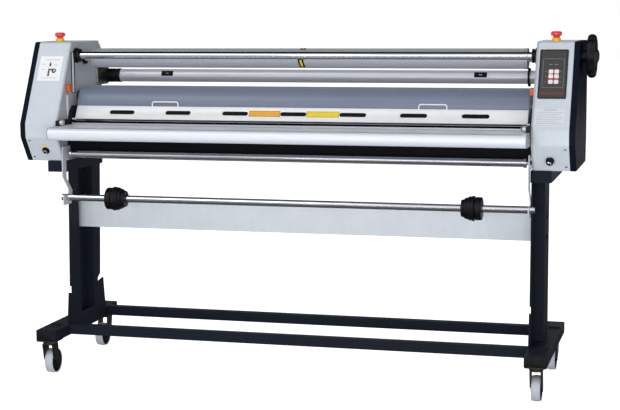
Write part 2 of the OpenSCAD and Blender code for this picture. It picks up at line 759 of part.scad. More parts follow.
// Lift cross shaft with a pinion in each housing, turned by the handwheel
module cross_shaft() color([0.85, 0.86, 0.88]) placed() {
    rod_x(-rack_teeth_x - rack_w - flange_t, wheel_boss_x, cross_d / 2 - pinion_neck, cross_y, cross_z);
    rod_x(-plate_out_x, plate_out_x, cross_d / 2, cross_y, cross_z);
    both_sides() translate([rack_teeth_x - cut, cross_y, cross_z]) rotate([90, 0, 90])
        linear_extrude(rack_w + 2 * cut) polygon(gear_points(lift_teeth, lift_pitch_r, rack_module, 0));
}
function lobed(angle) = handwheel_d / 2 - wheel_lobe_depth * (1 - cos(lobe_count * angle)) / 2;
module handwheel() color([0.05, 0.05, 0.06]) placed() translate([0, cross_y, cross_z]) difference() {
    union() {
        rod_x(wheel_x, wheel_rim_x + cut, wheel_hub_r, 0, 0);
        along_x(wheel_rim_x, wheel_boss_x) polygon([for (a = [0:3:357]) lobed(a) * [cos(a), sin(a)]]);
        rod_x(wheel_boss_x - cut, wheel_end_x, wheel_boss_r, 0, 0);
    }
    dish_t = (wheel_rim_t - wheel_web_t) / 2;
    rim_in_r = handwheel_d / 2 - wheel_lobe_depth - wheel_rim_w;
    for (x = [wheel_rim_x - cut, wheel_boss_x - dish_t]) difference() {
        rod_x(x, x + dish_t + cut, rim_in_r, 0, 0);
        rod_x(x - cut, x + dish_t + 2 * cut, wheel_boss_r, 0, 0);
    }
    rod_x(wheel_x - cut, wheel_boss_x, cross_d / 2 - pinion_neck, 0, 0);
}

// Supply shaft: a tube with end rings and journals
module supply_shaft() color([0.62, 0.64, 0.67]) placed() difference() {
    union() {
        rod_x(-supply_end_x, supply_end_x, supply_d / 2, supply_y, supply_z);
        both_sides() rod_x(supply_end_x - supply_ring_w, supply_end_x, supply_d / 2 + supply_ring_lip,
            supply_y, supply_z);
        rod_x(-plate_out_x, plate_out_x, supply_journal_r, supply_y, supply_z);
    }
    rod_x(core_end_t - supply_end_x, supply_end_x - core_end_t, supply_d / 2 - supply_wall, supply_y, supply_z);
    rod_x(-plate_out_x - cut, plate_out_x + cut, centre_r, supply_y, supply_z);
}

// Rear shaft with a ribbed hub on the left and a brake disc on the right, in two brackets
rear_journal_r = 10;
rear_wall = 4;
hub_l = 59;
hub_r = 26;
hub_groove = 3;
hub_rib = 6;
disc_r = 32;
disc_t = 8;
bracket_t = 6;
bracket_in_y = 150;
bracket_out_y = 262;
bracket_half = 33;
bracket_r = 12;
hub_x = plate_x - bracket_t - bracket_t;
module rear_brackets() color([0.6, 0.61, 0.63]) placed() both_sides() difference() {
    along_x(plate_x - bracket_t, plate_x) polygon(rounded([[bracket_in_y, rear_z - bracket_half],
        [bracket_out_y, rear_z - bracket_half], [bracket_out_y, rear_z + bracket_half],
        [bracket_in_y, rear_z + bracket_half]], [bracket_r, bracket_r, bracket_r, bracket_r]));
    rod_x(plate_x - bracket_t - cut, plate_x + cut, rear_journal_r + run_gap, rear_y, rear_z);
}
module rear_shaft() color([0.8, 0.81, 0.83]) placed() difference() {
    union() {
        rod_x(hub_l - hub_x, hub_x - disc_t, rear_d / 2, rear_y, rear_z);
        difference() {
            rod_x(-hub_x, hub_l - hub_x, hub_r, rear_y, rear_z);
            for (x = [hub_rib:2 * hub_rib:hub_l - hub_rib]) difference() {
                rod_x(x - hub_x, x - hub_x + hub_rib / 2, hub_r + cut, rear_y, rear_z);
                rod_x(x - hub_x - cut, x - hub_x + hub_rib, hub_r - hub_groove, rear_y, rear_z);
            }
        }
        rod_x(hub_x - disc_t, hub_x, disc_r, rear_y, rear_z);
        rod_x(-plate_x, plate_x, rear_journal_r, rear_y, rear_z);
    }
    rod_x(core_end_t - hub_x, hub_x - core_end_t, rear_d / 2 - rear_wall, rear_y, rear_z);
    rod_x(-plate_x - cut, plate_x + cut, centre_r, rear_y, rear_z);
}

// Lower idler bar with end collars
idler_end = 20;
idler_collar_l = 10;
idler_collar_lip = 3;
module lower_idler_bar() color([0.85, 0.86, 0.88]) placed() {
    rod_x(idler_end - plate_x, plate_x - idler_end, idler_d / 2, idler_y, idler_z);
    both_sides() rod_x(plate_x - idler_end - idler_collar_l, plate_x - idler_end,
        idler_d / 2 + idler_collar_lip, idler_y, idler_z);
    rod_x(-plate_out_x, plate_out_x, idler_journal_r, idler_y, idler_z);
}

// Arms that hang in front of the legs and hold the media shaft in open hooks
arm_t = 4;
media_y = -160;
media_z = base_z - 131;
hook_gap = 0.1;
hook_r = media_d / 2 + hook_gap;
arm_x = foot_x - arm_t;
// Distances of the arm's corners from the media shaft
arm_head_top = 185;
arm_head_low = 134;
arm_strip_low = 80;
arm_neck = 30;
hook_under = 26;
hook_horn = 12;
arm_head_front = 28;
arm_head_back = 86;
arm_strip_front = 35;
arm_strip_back = 3;
arm_neck_back = 45;
hook_front = 31;
hook_back = 34;
spacer_r = 7;
spacer_zs = [arm_head_low + 12, arm_head_top - 12];
spacer_ys = [-10, 60];
arm_points = [[-hook_front, -hook_under], [hook_back, -hook_under], [arm_neck_back, arm_neck - 9],
    [-arm_strip_back, arm_strip_low - 10], [-arm_strip_back, arm_head_low], [arm_head_back, arm_head_low],
    [arm_head_back, arm_head_low + arm_neck], [arm_head_back / 2, arm_head_top],
    [-arm_head_front, arm_head_top], [-arm_strip_front, arm_head_low], [-arm_strip_front, arm_strip_low],
    [hook_r, arm_neck], [hook_r, 0], [-hook_r, 0], [-hook_r, hook_horn], [-hook_front, hook_horn]];
module shaft_arms() color([0.72, 0.74, 0.77]) placed() both_sides() {
    difference() {
        along_x(arm_x, foot_x) translate([media_y, media_z]) polygon(arm_points);
        rod_x(arm_x - cut, foot_x + cut, hook_r, media_y, media_z);
        rod_x(arm_x - cut, foot_x + cut, idler_journal_r + run_gap, idler_y, idler_z);
    }
    for (y = spacer_ys, z = spacer_zs) rod_x(foot_x, plate_x, spacer_r, media_y + y, media_z + z);
}

// Media shaft that lies in the hooks, and two core chucks that slide on it
media_over = 10;
module media_shaft() color([0.86, 0.87, 0.88]) placed()
    rod_x(-plate_x - media_over, plate_x + media_over, media_d / 2, media_y, media_z);
cone_l = 45;
cone_small_share = 0.5;
cone_ribs = 5;
cone_groove_share = 0.94;
groove_l = 4;
groove_r = 32;
collar_l = 21;
chuck_collar_r = 39;
chuck_round = 4;
chuck_hole_r = 4.5;
chuck_hole_at = 28;
function cone_r(share) = chuck_d / 2 * (1 - (1 - cone_small_share) * pow(share, 1.6));
chuck_profile = concat(
    [[media_d / 2 + run_gap, -groove_l - collar_l], [chuck_collar_r - chuck_round, -groove_l - collar_l],
        [chuck_collar_r, chuck_round - groove_l - collar_l], [chuck_collar_r, -groove_l - chuck_round],
        [groove_r, -groove_l], [groove_r, 0]],
    [for (i = [0:cone_ribs - 1], s = [0:2])
        [cone_r(i / cone_ribs) * (s == 1 ? 1 : cone_groove_share), cone_l * (i + s / 2 * 0.96) / cone_ribs]],
    [[media_d / 2 + run_gap, cone_l]]);
module chuck() difference() {
    translate([chuck_place, media_y, media_z]) rotate([0, -90, 0]) rotate_extrude() polygon(chuck_profile);
    for (z = [-chuck_hole_at, chuck_hole_at])
        translate([chuck_place + groove_l + collar_l / 2, media_y, media_z + z]) rotate([90, 0, 0])
            cylinder(h = chuck_d, r = chuck_hole_r, center = true);
}
module left_chuck() color([0.04, 0.04, 0.05]) placed() left_side() chuck();
module right_chuck() color([0.04, 0.04, 0.05]) placed() chuck();

// Guard panel: leaning slotted sheet on two end pins
guard_y = -107;
guard_z = base_z + 149;
guard_lean = 30.4;
guard_half = face_l / 2 - 2;
guard_t = 2.5;
cheek_depth = 10;
guard_cheek_t = 2;
guard_cheek_low = 3;
guard_cheek_drop = 12;
guard_pin_r = 3;
guard_pin_l = 17;
guard_slot_l = 88;
guard_slot_h = 11;
guard_slot_up = 33;
guard_slot_pitch = 2 * guard_half / (slot_count + 0.7);
module on_guard() translate([0, guard_y, guard_z]) rotate([-guard_lean, 0, 0]) children();
module guard_slot() {
    translate([0, guard_t, 0]) rotate([90, 0, 0]) linear_extrude(2 * guard_t) {
        square([guard_slot_l - guard_slot_h, guard_slot_h], center = true);
        for (side = [-1, 1]) translate([side * (guard_slot_l - guard_slot_h) / 2, 0]) circle(d = guard_slot_h);
    }
}
module guard_panel() color([0.93, 0.94, 0.95]) placed() on_guard() {
    difference() {
        block([-guard_half, -guard_t / 2, 0], [guard_half, guard_t / 2, guard_h]);
        for (i = [0:slot_count - 1])
            translate([(i - (slot_count - 1) / 2) * guard_slot_pitch, 0, guard_slot_up]) guard_slot();
    }
    both_sides() {
        block([guard_half - guard_cheek_t, -guard_t / 2, -guard_cheek_low],
            [guard_half, cheek_depth, guard_h - guard_cheek_drop]);
        rod_x(guard_half - cut, guard_half + guard_pin_l, guard_pin_r, 0, 0);
    }
}
// Wire handles: legs on the guard's front face, bent upright above its upper edge
handle_places = [-485, 487];
handle_w = 103;
handle_r = 2.75;
handle_joint_r = 3;
handle_bend = 10;
handle_up = 19;
handle_down = 12;
handle_over = 2;
handle_out = guard_t / 2 + handle_r;
handle_y = guard_y - handle_out * cos(guard_lean) + (guard_h + handle_over) * sin(guard_lean);
handle_z = guard_z + handle_out * sin(guard_lean) + (guard_h + handle_over) * cos(guard_lean);
module wire_handle(x) {
    on_guard() for (side = [-1, 1]) translate([x + side * handle_w / 2, -handle_out, guard_h - handle_down])
        cylinder(h = handle_down + handle_over, r = handle_r);
    translate([x, handle_y, handle_z]) {
        for (side = [-1, 1]) translate([side * handle_w / 2, 0, 0]) {
            sphere(r = handle_joint_r);
            cylinder(h = handle_up - handle_bend, r = handle_r);
            translate([-side * handle_bend, 0, handle_up - handle_bend]) rotate([90, 0, side < 0 ? 180 : 0])
                rotate_extrude(angle = 90) translate([handle_bend, 0]) circle(r = handle_r);
        }
        rod_x(handle_bend - handle_w / 2, handle_w / 2 - handle_bend, handle_r, 0, handle_up);
    }
}
module guard_handles() color([0.8, 0.81, 0.83]) placed() for (x = handle_places) wire_handle(x);

// Feed table: hollow nose and a flat plate back to the rollers
table_top = base_z + 131;
table_end = 2;
table_plate_t = 10;
table_back = -108;
table_wall = 3;
table_r = 20;
cap_t = 3;
table_x = plate_x - table_end;
table_plate_l = table_back + table_reach - nose_l;
nose_points = [[-table_reach, table_top - table_h], [nose_l - table_reach, table_top - table_h],
    [nose_l - table_reach, table_top], [-table_reach, table_top]];
nose_radii = [table_r, edge_r, 0, table_r];
module feed_table() color([0.9, 0.9, 0.93]) placed() difference() {
    along_x(cap_t - table_x, table_x - cap_t) {
        polygon(rounded(nose_points, nose_radii));
        translate([nose_l - table_reach, table_top - table_plate_t]) square([table_plate_l, table_plate_t]);
    }
    along_x(-table_x, table_x) polygon(rounded(inset(nose_points, table_wall),
        [for (r = nose_radii) max(r - table_wall, 0)]));
}
module table_end_caps() color([0.55, 0.57, 0.6]) placed() both_sides() along_x(table_x - cap_t, table_x)
    polygon(rounded(nose_points, nose_radii));

// Hold-down rail on the table
rail_left = face_l / 2 - 8;
rail_right = face_l / 2 - 18;
rail_back = 4;
rail_w = 38;
rail_h = 10;
rail_y = table_back - rail_back;
module hold_down_rail() color([0.72, 0.74, 0.76]) placed()
    block([-rail_left, rail_y - rail_w, table_top], [rail_right, rail_y, table_top + rail_h]);

// Brackets on the side plates: the table's side channels and the guard's pivots
arm_w = 14;
arm_h = 19;
arm_front = 225;
arm_back = 70;
ledge_t = 10;
ledge_gap = 3;
channel_web = 1.7;
table_knob_y = -215;
table_knob_r = 11;
table_knob_l = 14;
table_knob_up = 11.5;
table_stud_r = 4;
bracket_x = plate_x - arm_w;
// Distances of the guard bracket's corners from the guard's pivot
pivot_foot = 15;
pivot_high = 46;
pivot_low = 9;
pivot_back = 41;
pivot_front = 23;
pivot_points = [[guard_y - pivot_foot, table_top + pass_gap], [guard_y + pivot_foot, table_top + pass_gap],
    [guard_y + pivot_back, guard_z + pivot_high], [guard_y + pivot_front, guard_z + pivot_high],
    [guard_y - pivot_foot, guard_z + pivot_low]];
module front_brackets() color([0.07, 0.07, 0.08]) placed() both_sides() difference() {
    union() {
        block([bracket_x, -arm_front, table_top + pass_gap], [plate_x, -arm_back, table_top + arm_h]);
        block([plate_x - channel_web, -arm_front, table_top - table_plate_t - pass_gap - ledge_t],
            [plate_x, -arm_back, table_top + arm_h]);
        block([bracket_x, nose_l - table_reach + ledge_gap, table_top - table_plate_t - pass_gap - ledge_t],
            [plate_x, -arm_back, table_top - table_plate_t - pass_gap]);
        along_x(bracket_x, plate_x) polygon(pivot_points);
    }
    rod_x(bracket_x - cut, guard_half + guard_pin_l + pass_gap, guard_pin_r + run_gap, guard_y, guard_z);
    rod_x(bracket_x - cut, plate_x - channel_web, table_stud_r + run_gap, table_knob_y,
        table_top + table_knob_up);
}
module table_knob() {
    z = table_top + table_knob_up;
    rod_x(bracket_x - pass_gap - table_knob_l, bracket_x - pass_gap, table_knob_r, table_knob_y, z);
    rod_x(bracket_x - pass_gap - cut, plate_x - channel_web - pass_gap, table_stud_r, table_knob_y, z);
}
module left_table_knob() color([0.7, 0.71, 0.73]) placed() left_side() table_knob();
module right_table_knob() color([0.7, 0.71, 0.73]) placed() table_knob();

// Speed knob on the right lower slope
speed_h = 16;
speed_gap = 0.6;
speed_cap_r = 10;
speed_cap_h = 2;
speed_stem_l = 14;
module speed_knob() color([0.1, 0.1, 0.11]) placed() on_lower_slope(control_x) {
    translate([0, 0, speed_gap]) cylinder(h = speed_h, r = speed_d / 2);
    translate([0, 0, speed_gap + speed_h]) cylinder(h = speed_cap_h, r = speed_cap_r);
    translate([0, 0, -speed_stem_l]) cylinder(h = speed_stem_l + speed_gap, r = speed_stem_r);
}

// Round mains inlet on the left lower slope: flange, barrel that takes a coupling ring, and a recess
socket_flange_r = 14;
socket_flange_h = 3;
socket_in = 20;
socket_barrel_r = 8;
socket_barrel_l = 9;
socket_bore_r = 6.2;
socket_bore_l = 16;
socket_top = socket_flange_h + socket_barrel_l;
module mains_socket() color([0.05, 0.05, 0.06]) placed() left_side() on_lower_slope(control_x) difference() {
    union() {
        cylinder(h = socket_flange_h, r = socket_flange_r);
        cylinder(h = socket_top, r = socket_barrel_r);
        translate([0, 0, -socket_in]) cylinder(h = socket_in, r = socket_r);
    }
    translate([0, 0, socket_top - socket_bore_l]) cylinder(h = socket_bore_l + cut, r = socket_bore_r);
}

// Photo sensors on the inner faces of the side plates
sensor_y = -128;
sensor_up = 247;
sensor_low = base_z + sensor_up;
sensor_size = 25;
sensor_t = 6;
module photo_sensors() color([0.75, 0.45, 0.1]) placed() both_sides()
    block([plate_x - sensor_t, sensor_y, sensor_low], [plate_x, sensor_y + sensor_size, sensor_low + sensor_size]);

// Control board in the right housing, with the speed knob's potentiometer
board_off = 10;
board_t = 1.6;
board_front = 60;
board_back = 170;
board_low_up = 218;
board_high_up = 378;
board_low = [board_front, base_z + board_low_up];
board_high = [board_back, base_z + board_high_up];
board_edge = 10;
standoff_r = 4;
chip_h = 22;
chip_size = [30, 40];
chip_shares = [[0.3, 0.3], [0.7, 0.3], [0.5, 0.72]];
pot_r = 9;
pot_l = 12;
module control_board() color([0.1, 0.35, 0.2]) placed() {
    board_x = plate_out_x + board_off;
    block([board_x, board_low[0], board_low[1]], [board_x + board_t, board_high[0], board_high[1]]);
    for (y = [board_low[0] + board_edge, board_high[0] - board_edge],
        z = [board_low[1] + board_edge, board_high[1] - board_edge])
        rod_x(plate_out_x, board_x, standoff_r, y, z);
    for (s = chip_shares) {
        y = board_low[0] + s[0] * (board_high[0] - board_low[0]);
        z = board_low[1] + s[1] * (board_high[1] - board_low[1]);
        block([board_x + board_t, y - chip_size[0] / 2, z - chip_size[1] / 2],
            [board_x + board_t + chip_h, y + chip_size[0] / 2, z + chip_size[1] / 2]);
    }
    on_lower_slope(control_x) difference() {
        translate([0, 0, -cover_t - pot_l]) cylinder(h = pot_l, r = pot_r);
        translate([0, 0, -cover_t - pot_l - cut]) cylinder(h = pot_l + 2 * cut, r = speed_stem_r + run_gap);
    }
}

feet();
legs();
stretchers();
tie_panel();
fasteners();
caster_plates();
side_plates();
left_front_cover();
right_front_cover();
outer_covers();
rear_crossbeam();
lower_apron();
estop_collars();
control_panel();
shaft_bearings();
gear_motor();
front_brackets();
shaft_arms();
rear_brackets();
mains_socket();
photo_sensors();
control_board();
upper_bearing_blocks();
upper_roller_shaft();
upper_roller_sleeve();
lower_roller_shaft();
lower_roller_sleeve();
drive_pinion();
cross_shaft();
handwheel();
supply_shaft();
rear_shaft();
lower_idler_bar();
media_shaft();
left_chuck();
right_chuck();
guard_panel();
guard_handles();
feed_table();
table_end_caps();
hold_down_rail();
left_table_knob();
right_table_knob();
speed_knob();
left_estop();
right_estop();
key_1();
key_2();
key_3();
key_4();
key_5();
key_6();
front_left_fork();
front_right_fork();
rear_left_fork();
rear_right_fork();
front_left_wheel();
front_right_wheel();
rear_left_wheel();
rear_right_wheel();
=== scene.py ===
"""Looks of a wide cold roll laminator on a wheeled stand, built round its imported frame."""
import enum
import json
import logging
import math
from dataclasses import dataclass
from typing import Any, Iterable, Mapping, Sequence

import bmesh
import bpy
from mathutils import Matrix, Vector


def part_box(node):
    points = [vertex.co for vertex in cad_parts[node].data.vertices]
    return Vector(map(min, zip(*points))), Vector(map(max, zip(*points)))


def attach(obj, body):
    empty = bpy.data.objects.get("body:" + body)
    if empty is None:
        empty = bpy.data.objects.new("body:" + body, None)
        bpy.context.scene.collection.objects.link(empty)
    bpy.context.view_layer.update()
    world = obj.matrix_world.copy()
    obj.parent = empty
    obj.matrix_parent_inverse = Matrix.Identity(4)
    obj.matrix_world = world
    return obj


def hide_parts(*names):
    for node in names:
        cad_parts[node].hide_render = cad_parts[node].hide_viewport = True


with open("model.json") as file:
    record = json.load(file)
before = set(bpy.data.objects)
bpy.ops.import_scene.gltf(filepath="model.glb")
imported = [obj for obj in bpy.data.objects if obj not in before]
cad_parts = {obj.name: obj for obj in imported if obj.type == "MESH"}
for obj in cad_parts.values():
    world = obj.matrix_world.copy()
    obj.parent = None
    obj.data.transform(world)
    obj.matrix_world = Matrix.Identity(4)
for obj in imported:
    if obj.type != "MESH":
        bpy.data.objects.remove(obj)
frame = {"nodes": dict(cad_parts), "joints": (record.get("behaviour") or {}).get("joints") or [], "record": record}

LOG = logging.getLogger("laminator")
MM = 0.001
IMAGE_W = 620
CARD_FILM = 0.3 * MM
CARD_INK = 0.12 * MM
PANEL_INK = 0.15 * MM
Colour = tuple[float, float, float]
Point = tuple[float, float]


def srgb(red: int, green: int, blue: int) -> Colour:
    """Turn a colour as a picture shows it, from 0 to 255, into scene values."""
    def channel(value: int) -> float:
        """Undo the picture's curve for one channel."""
        share = value / 255
        return share / 12.92 if share <= 0.04045 else ((share + 0.055) / 1.055) ** 2.4
    return channel(red), channel(green), channel(blue)


class Value:
    """One number socket of a node tree, so that shader maths reads as plain Python."""

    def __init__(self, paint: "Paint", socket: bpy.types.NodeSocket) -> None:
        """Keep the tree and the socket."""
        self.paint = paint
        self.socket = socket

    def _maths(self, operation: str, *terms: Any) -> "Value":
        """Add one Math node.

        Args:
            operation: the node's operation.
            terms: values or plain numbers, in the node's order.

        Returns:
            The node's result.
        """
        sockets = {place: term for place, term in enumerate(terms)}
        return self.paint.value("ShaderNodeMath", {"operation": operation}, sockets)

    def __add__(self, other: Any) -> "Value":
        """Sum."""
        return self._maths("ADD", self, other)

    def __radd__(self, other: Any) -> "Value":
        """Sum, from the right."""
        return self._maths("ADD", other, self)

    def __sub__(self, other: Any) -> "Value":
        """Difference."""
        return self._maths("SUBTRACT", self, other)

    def __mul__(self, other: Any) -> "Value":
        """Product."""
        return self._maths("MULTIPLY", self, other)

    def over(self, limit: float) -> "Value":
        """One where the value is over the limit, and zero elsewhere."""
        return self._maths("GREATER_THAN", self, limit)

    def most(self, other: Any) -> "Value":
        """The larger of two values."""
        return self._maths("MAXIMUM", self, other)

    def wave(self) -> "Value":
        """Sine of the value."""
        return self._maths("SINE", self)

    def ramp(self, low: float, high: float) -> "Value":
        """Stretch the range from low to high over 0 to 1, held at its ends."""
        settings = {"clamp": True}
        sockets = {"Value": self, "From Min": low, "From Max": high}
        return self.paint.value("ShaderNodeMapRange", settings, sockets)


class Paint:
    """A material's node tree while it is written."""

    def __init__(self, name: str) -> None:
        """Start a material with its shader and output.

        Args:
            name: the material's name.
        """
        self.material = bpy.data.materials.new(name)
        self.material.use_nodes = True
        self.tree = self.material.node_tree
        self.tree.nodes.clear()
        self.shader = self.node("ShaderNodeBsdfPrincipled")
        self.end = self.node("ShaderNodeOutputMaterial", sockets={"Surface": self.shader.outputs[0]})
        self.place = self.node("ShaderNodeTexCoord").outputs["Object"]

    def node(self, kind: str, settings: Mapping[str, Any] | None = None,
             sockets: Mapping[Any, Any] | None = None) -> bpy.types.Node:
        """Add any node.

        Args:
            kind: the node's type.
            settings: its properties, set first.
            sockets: values or links of its sockets, by name or number.

        Returns:
            The node.
        """
        node = self.tree.nodes.new(kind)
        for name, setting in (settings or {}).items():
            setattr(node, name, setting)
        for name, content in (sockets or {}).items():
            self.feed(node.inputs[name], content)
        return node

    def feed(self, socket: bpy.types.NodeSocket, content: Any) -> None:
        """Link or set one socket.

        Args:
            socket: the input.
            content: a Value, a socket, a colour, a vector or a number.
        """
        if isinstance(content, Value):
            self.tree.links.new(content.socket, socket)
        elif isinstance(content, bpy.types.NodeSocket):
            self.tree.links.new(content, socket)
        elif socket.type == "RGBA" and len(content) == 3:
            socket.default_value = (*content, 1.0)
        else:
            socket.default_value = content

    def value(self, kind: str, settings: Mapping[str, Any] | None = None,
              sockets: Mapping[Any, Any] | None = None) -> Value:
        """Add a node and return its first output as a number."""
        return Value(self, self.node(kind, settings, sockets).outputs[0])

    def noise(self, size: float, detail: float = 2.0, stretch: Sequence[float] = (1, 1, 1)) -> Value:
        """Soft random spots.

        Args:
            size: width of a spot in metres.
            detail: finer layers over the first one.
            stretch: how many times longer a spot is along each axis.

        Returns:
            A value from 0 to 1.
        """
        scale = tuple(1 / (size * share) for share in stretch)
        moved = self.node("ShaderNodeMapping", sockets={"Vector": self.place, "Scale": scale})
        sockets = {"Vector": moved.outputs[0], "Scale": 1.0, "Detail": detail}
        return self.value("ShaderNodeTexNoise", None, sockets)

    def cells(self, size: float) -> Value:
        """Distance to the nearest of many scattered points, in cell widths."""
        return self.value("ShaderNodeTexVoronoi", None, {"Vector": self.place, "Scale": 1 / size})

    def along(self, axis: int) -> Value:
        """The place on one axis, in metres."""
        split = self.node("ShaderNodeSeparateXYZ", sockets={0: self.place})
        return Value(self, split.outputs[axis])

    def blend(self, mask: Value, first: Any, second: Any) -> bpy.types.NodeSocket:
        """Mix two colours by a mask.

        Args:
            mask: 0 gives the first colour and 1 the second.
            first: a colour or colour socket.
            second: a colour or colour socket.

        Returns:
            The mixed colour's socket.
        """
        node = self.node("ShaderNodeMix", {"data_type": "RGBA"}, {0: mask})
        self.feed(node.inputs[6], first)
        self.feed(node.inputs[7], second)
        return node.outputs[2]

    def relief(self, height: Value, depth: float) -> bpy.types.NodeSocket:
        """Bump the surface.

        Args:
            height: from 0 to 1.
            depth: full height in metres.

        Returns:
            The normal's socket.
        """
        sockets = {"Strength": 1.0, "Distance": depth, "Height": height}
        return self.node("ShaderNodeBump", None, sockets).outputs[0]

    def finish(self, **sockets: Any) -> bpy.types.Material:
        """Set the shader's sockets and return the material.

        Args:
            sockets: the sockets by name, with spaces as underscores.
        """
        for name, content in sockets.items():
            self.feed(self.shader.inputs[name.replace("_", " ")], content)
        return self.material


def shade(colour: Colour, factor: float) -> Colour:
    """The colour made darker or lighter by a factor, never over full white."""
    return tuple(min(1.0, channel * factor) for channel in colour)


@dataclass(frozen=True)
class Finish:
    """A surface finish with its own material and the record's slot that it stands for."""

    name: str
    slot: str
    colour: Colour
    rough: float = 0.4

    def write(self, paint: Paint) -> bpy.types.Material:
        """Write the node tree; each kind of finish has its own."""
        raise NotImplementedError

    def material(self) -> bpy.types.Material:
        """The finish's material, made once."""
        made = bpy.data.materials.get(self.name)
        return made if made else self.write(Paint(self.name))


@dataclass(frozen=True)
class PowderCoat(Finish):
    """Baked powder paint: fine orange peel, faint cloudiness and a few dust specks."""

    grain: float = 0.0011
    depth: float = 0.00004
    coat: float = 0.0
    dust: float = 0.5
    shine: float = 0.5

    def write(self, paint: Paint) -> bpy.types.Material:
        """Peel in the bump, clouds in the colour, and specks in both."""
        peel = paint.noise(self.grain, 3.0)
        cloud = paint.noise(0.16, 2.0)
        rub = paint.noise(0.021, 4.0, (1, 1, 2.5))
        speck = paint.cells(0.009).ramp(0.1, 0.04) * paint.noise(0.05).ramp(0.5, 0.62) * self.dust
        tone = (cloud * 0.6 + rub * 0.4).ramp(0.3, 0.7)
        body = paint.blend(tone, shade(self.colour, 0.93), shade(self.colour, 1.05))
        shown = paint.blend(speck, body, shade(self.colour, 0.72))
        rough = self.rough + (rub - 0.5) * 0.16 + (peel - 0.5) * 0.08
        paint.shader.inputs["Specular IOR Level"].default_value = self.shine
        return paint.finish(Base_Color=shown, Roughness=rough, Normal=paint.relief(peel, self.depth),
                            Coat_Weight=self.coat, Coat_Roughness=0.12)


@dataclass(frozen=True)
class DrawnMetal(Finish):
    """Metal with fine lines along one axis: ground, turned, brushed or anodised."""

    axis: int = 0
    line: float = 0.0009
    depth: float = 0.00001
    contrast: float = 0.16
    metal: float = 1.0
    smears: float = 0.3
    streak_length: float = 60.0

    def write(self, paint: Paint) -> bpy.types.Material:
        """Long thin streaks in colour, roughness and bump."""
        long = tuple(self.streak_length if place == self.axis else 1.0 for place in range(3))
        streak = paint.noise(self.line, 3.0, long)
        smear = paint.noise(0.045, 3.0)
        tone = (streak * (1 - self.smears) + smear * self.smears).ramp(0.32, 0.68)
        body = paint.blend(tone, shade(self.colour, 1 - self.contrast),
                           shade(self.colour, 1 + self.contrast / 2))
        rough = self.rough + (streak - 0.5) * 0.18 + (smear - 0.5) * 0.4 * self.smears
        return paint.finish(Base_Color=body, Roughness=rough, Metallic=self.metal,
                            Normal=paint.relief(streak, self.depth))


@dataclass(frozen=True)
class Plating(Finish):
    """Bright plated steel with faint hand marks and, on zinc, a drifting tint."""

    tint: Colour = (0.8, 0.8, 0.8)
    patch: float = 0.03

    def write(self, paint: Paint) -> bpy.types.Material:
        """Tint patches in the colour and hand marks in the roughness."""
        drift = paint.noise(self.patch, 3.0).ramp(0.35, 0.65)
        marks = paint.noise(0.012, 5.0, (2, 1, 1)).ramp(0.5, 0.75)
        fine = paint.noise(0.0014, 2.0)
        body = paint.blend(drift, self.colour, self.tint)
        rough = self.rough + marks * 0.1 + (fine - 0.5) * 0.05
        return paint.finish(Base_Color=body, Roughness=rough, Metallic=1.0,
                            Normal=paint.relief(fine, 0.000004))


@dataclass(frozen=True)
class Rubber(Finish):
    """Silicone or tyre rubber: ground bands round the roll, faint marks and a soft sheen."""

    band: float = 0.004
    axis: int = 0
    sheen: float = 0.15
    wear: float = 0.5
    shine: float = 0.5

    def write(self, paint: Paint) -> bpy.types.Material:
        """Ground bands across the axis, clouds and small marks."""
        across = tuple(0.35 if place == self.axis else 12.0 for place in range(3))
        ground = paint.noise(self.band, 3.0, across)
        cloud = paint.noise(0.22, 2.0)
        grit = paint.noise(0.0008, 2.0)
        mark = paint.cells(0.03).ramp(0.07, 0.03) * paint.noise(0.08).ramp(0.52, 0.6) * self.wear
        tone = (ground * 0.4 + cloud * 0.6).ramp(0.32, 0.68)
        body = paint.blend(tone, shade(self.colour, 0.93), shade(self.colour, 1.06))
        shown = paint.blend(mark, body, shade(self.colour, 0.7))
        rough = self.rough + (ground - 0.5) * 0.14 + (cloud - 0.5) * 0.1
        paint.shader.inputs["Specular IOR Level"].default_value = self.shine
        return paint.finish(Base_Color=shown, Roughness=rough, Normal=paint.relief(grit, 0.00002),
                            Sheen_Weight=self.sheen, Sheen_Roughness=0.5)


@dataclass(frozen=True)
class Moulded(Finish):
    """Moulded plastic with spark-eroded grain, or smooth where the grain is shallow."""

    grain: float = 0.0009
    depth: float = 0.00005
    coat: float = 0.0
    shine: float = 0.5

    def write(self, paint: Paint) -> bpy.types.Material:
        """Pebbled grain, flow clouds and slightly rubbed spots."""
        pebble = paint.cells(self.grain)
        cloud = paint.noise(0.04, 3.0)
        rubbed = paint.noise(0.018, 4.0).ramp(0.52, 0.7)
        body = paint.blend(cloud.ramp(0.3, 0.7), shade(self.colour, 0.88), shade(self.colour, 1.12))
        rough = self.rough + (pebble - 0.4) * 0.12 - rubbed * 0.08
        paint.shader.inputs["Specular IOR Level"].default_value = self.shine
        return paint.finish(Base_Color=body, Roughness=rough, Normal=paint.relief(pebble, self.depth),
                            Coat_Weight=self.coat, Coat_Roughness=0.08)


@dataclass(frozen=True)
class PrintedFilm(Finish):
    """A printed and laminated label: even ink with a fine print grain and a satin top film."""

    ink: Colour = (0.5, 0.5, 0.5)
    amount: float = 0.3

    def write(self, paint: Paint) -> bpy.types.Material:
        """Print grain between two inks, under a film with soft waves."""
        dots = paint.cells(0.0007)
        mottle = paint.noise(0.012, 4.0)
        wave = paint.noise(0.03, 2.0)
        mask = (dots * 0.5 + mottle * 0.5).ramp(0.35, 0.75) * self.amount
        body = paint.blend(mask, self.colour, self.ink)
        rough = self.rough + (mottle - 0.5) * 0.1
        return paint.finish(Base_Color=body, Roughness=rough, Normal=paint.relief(wave, 0.00003))


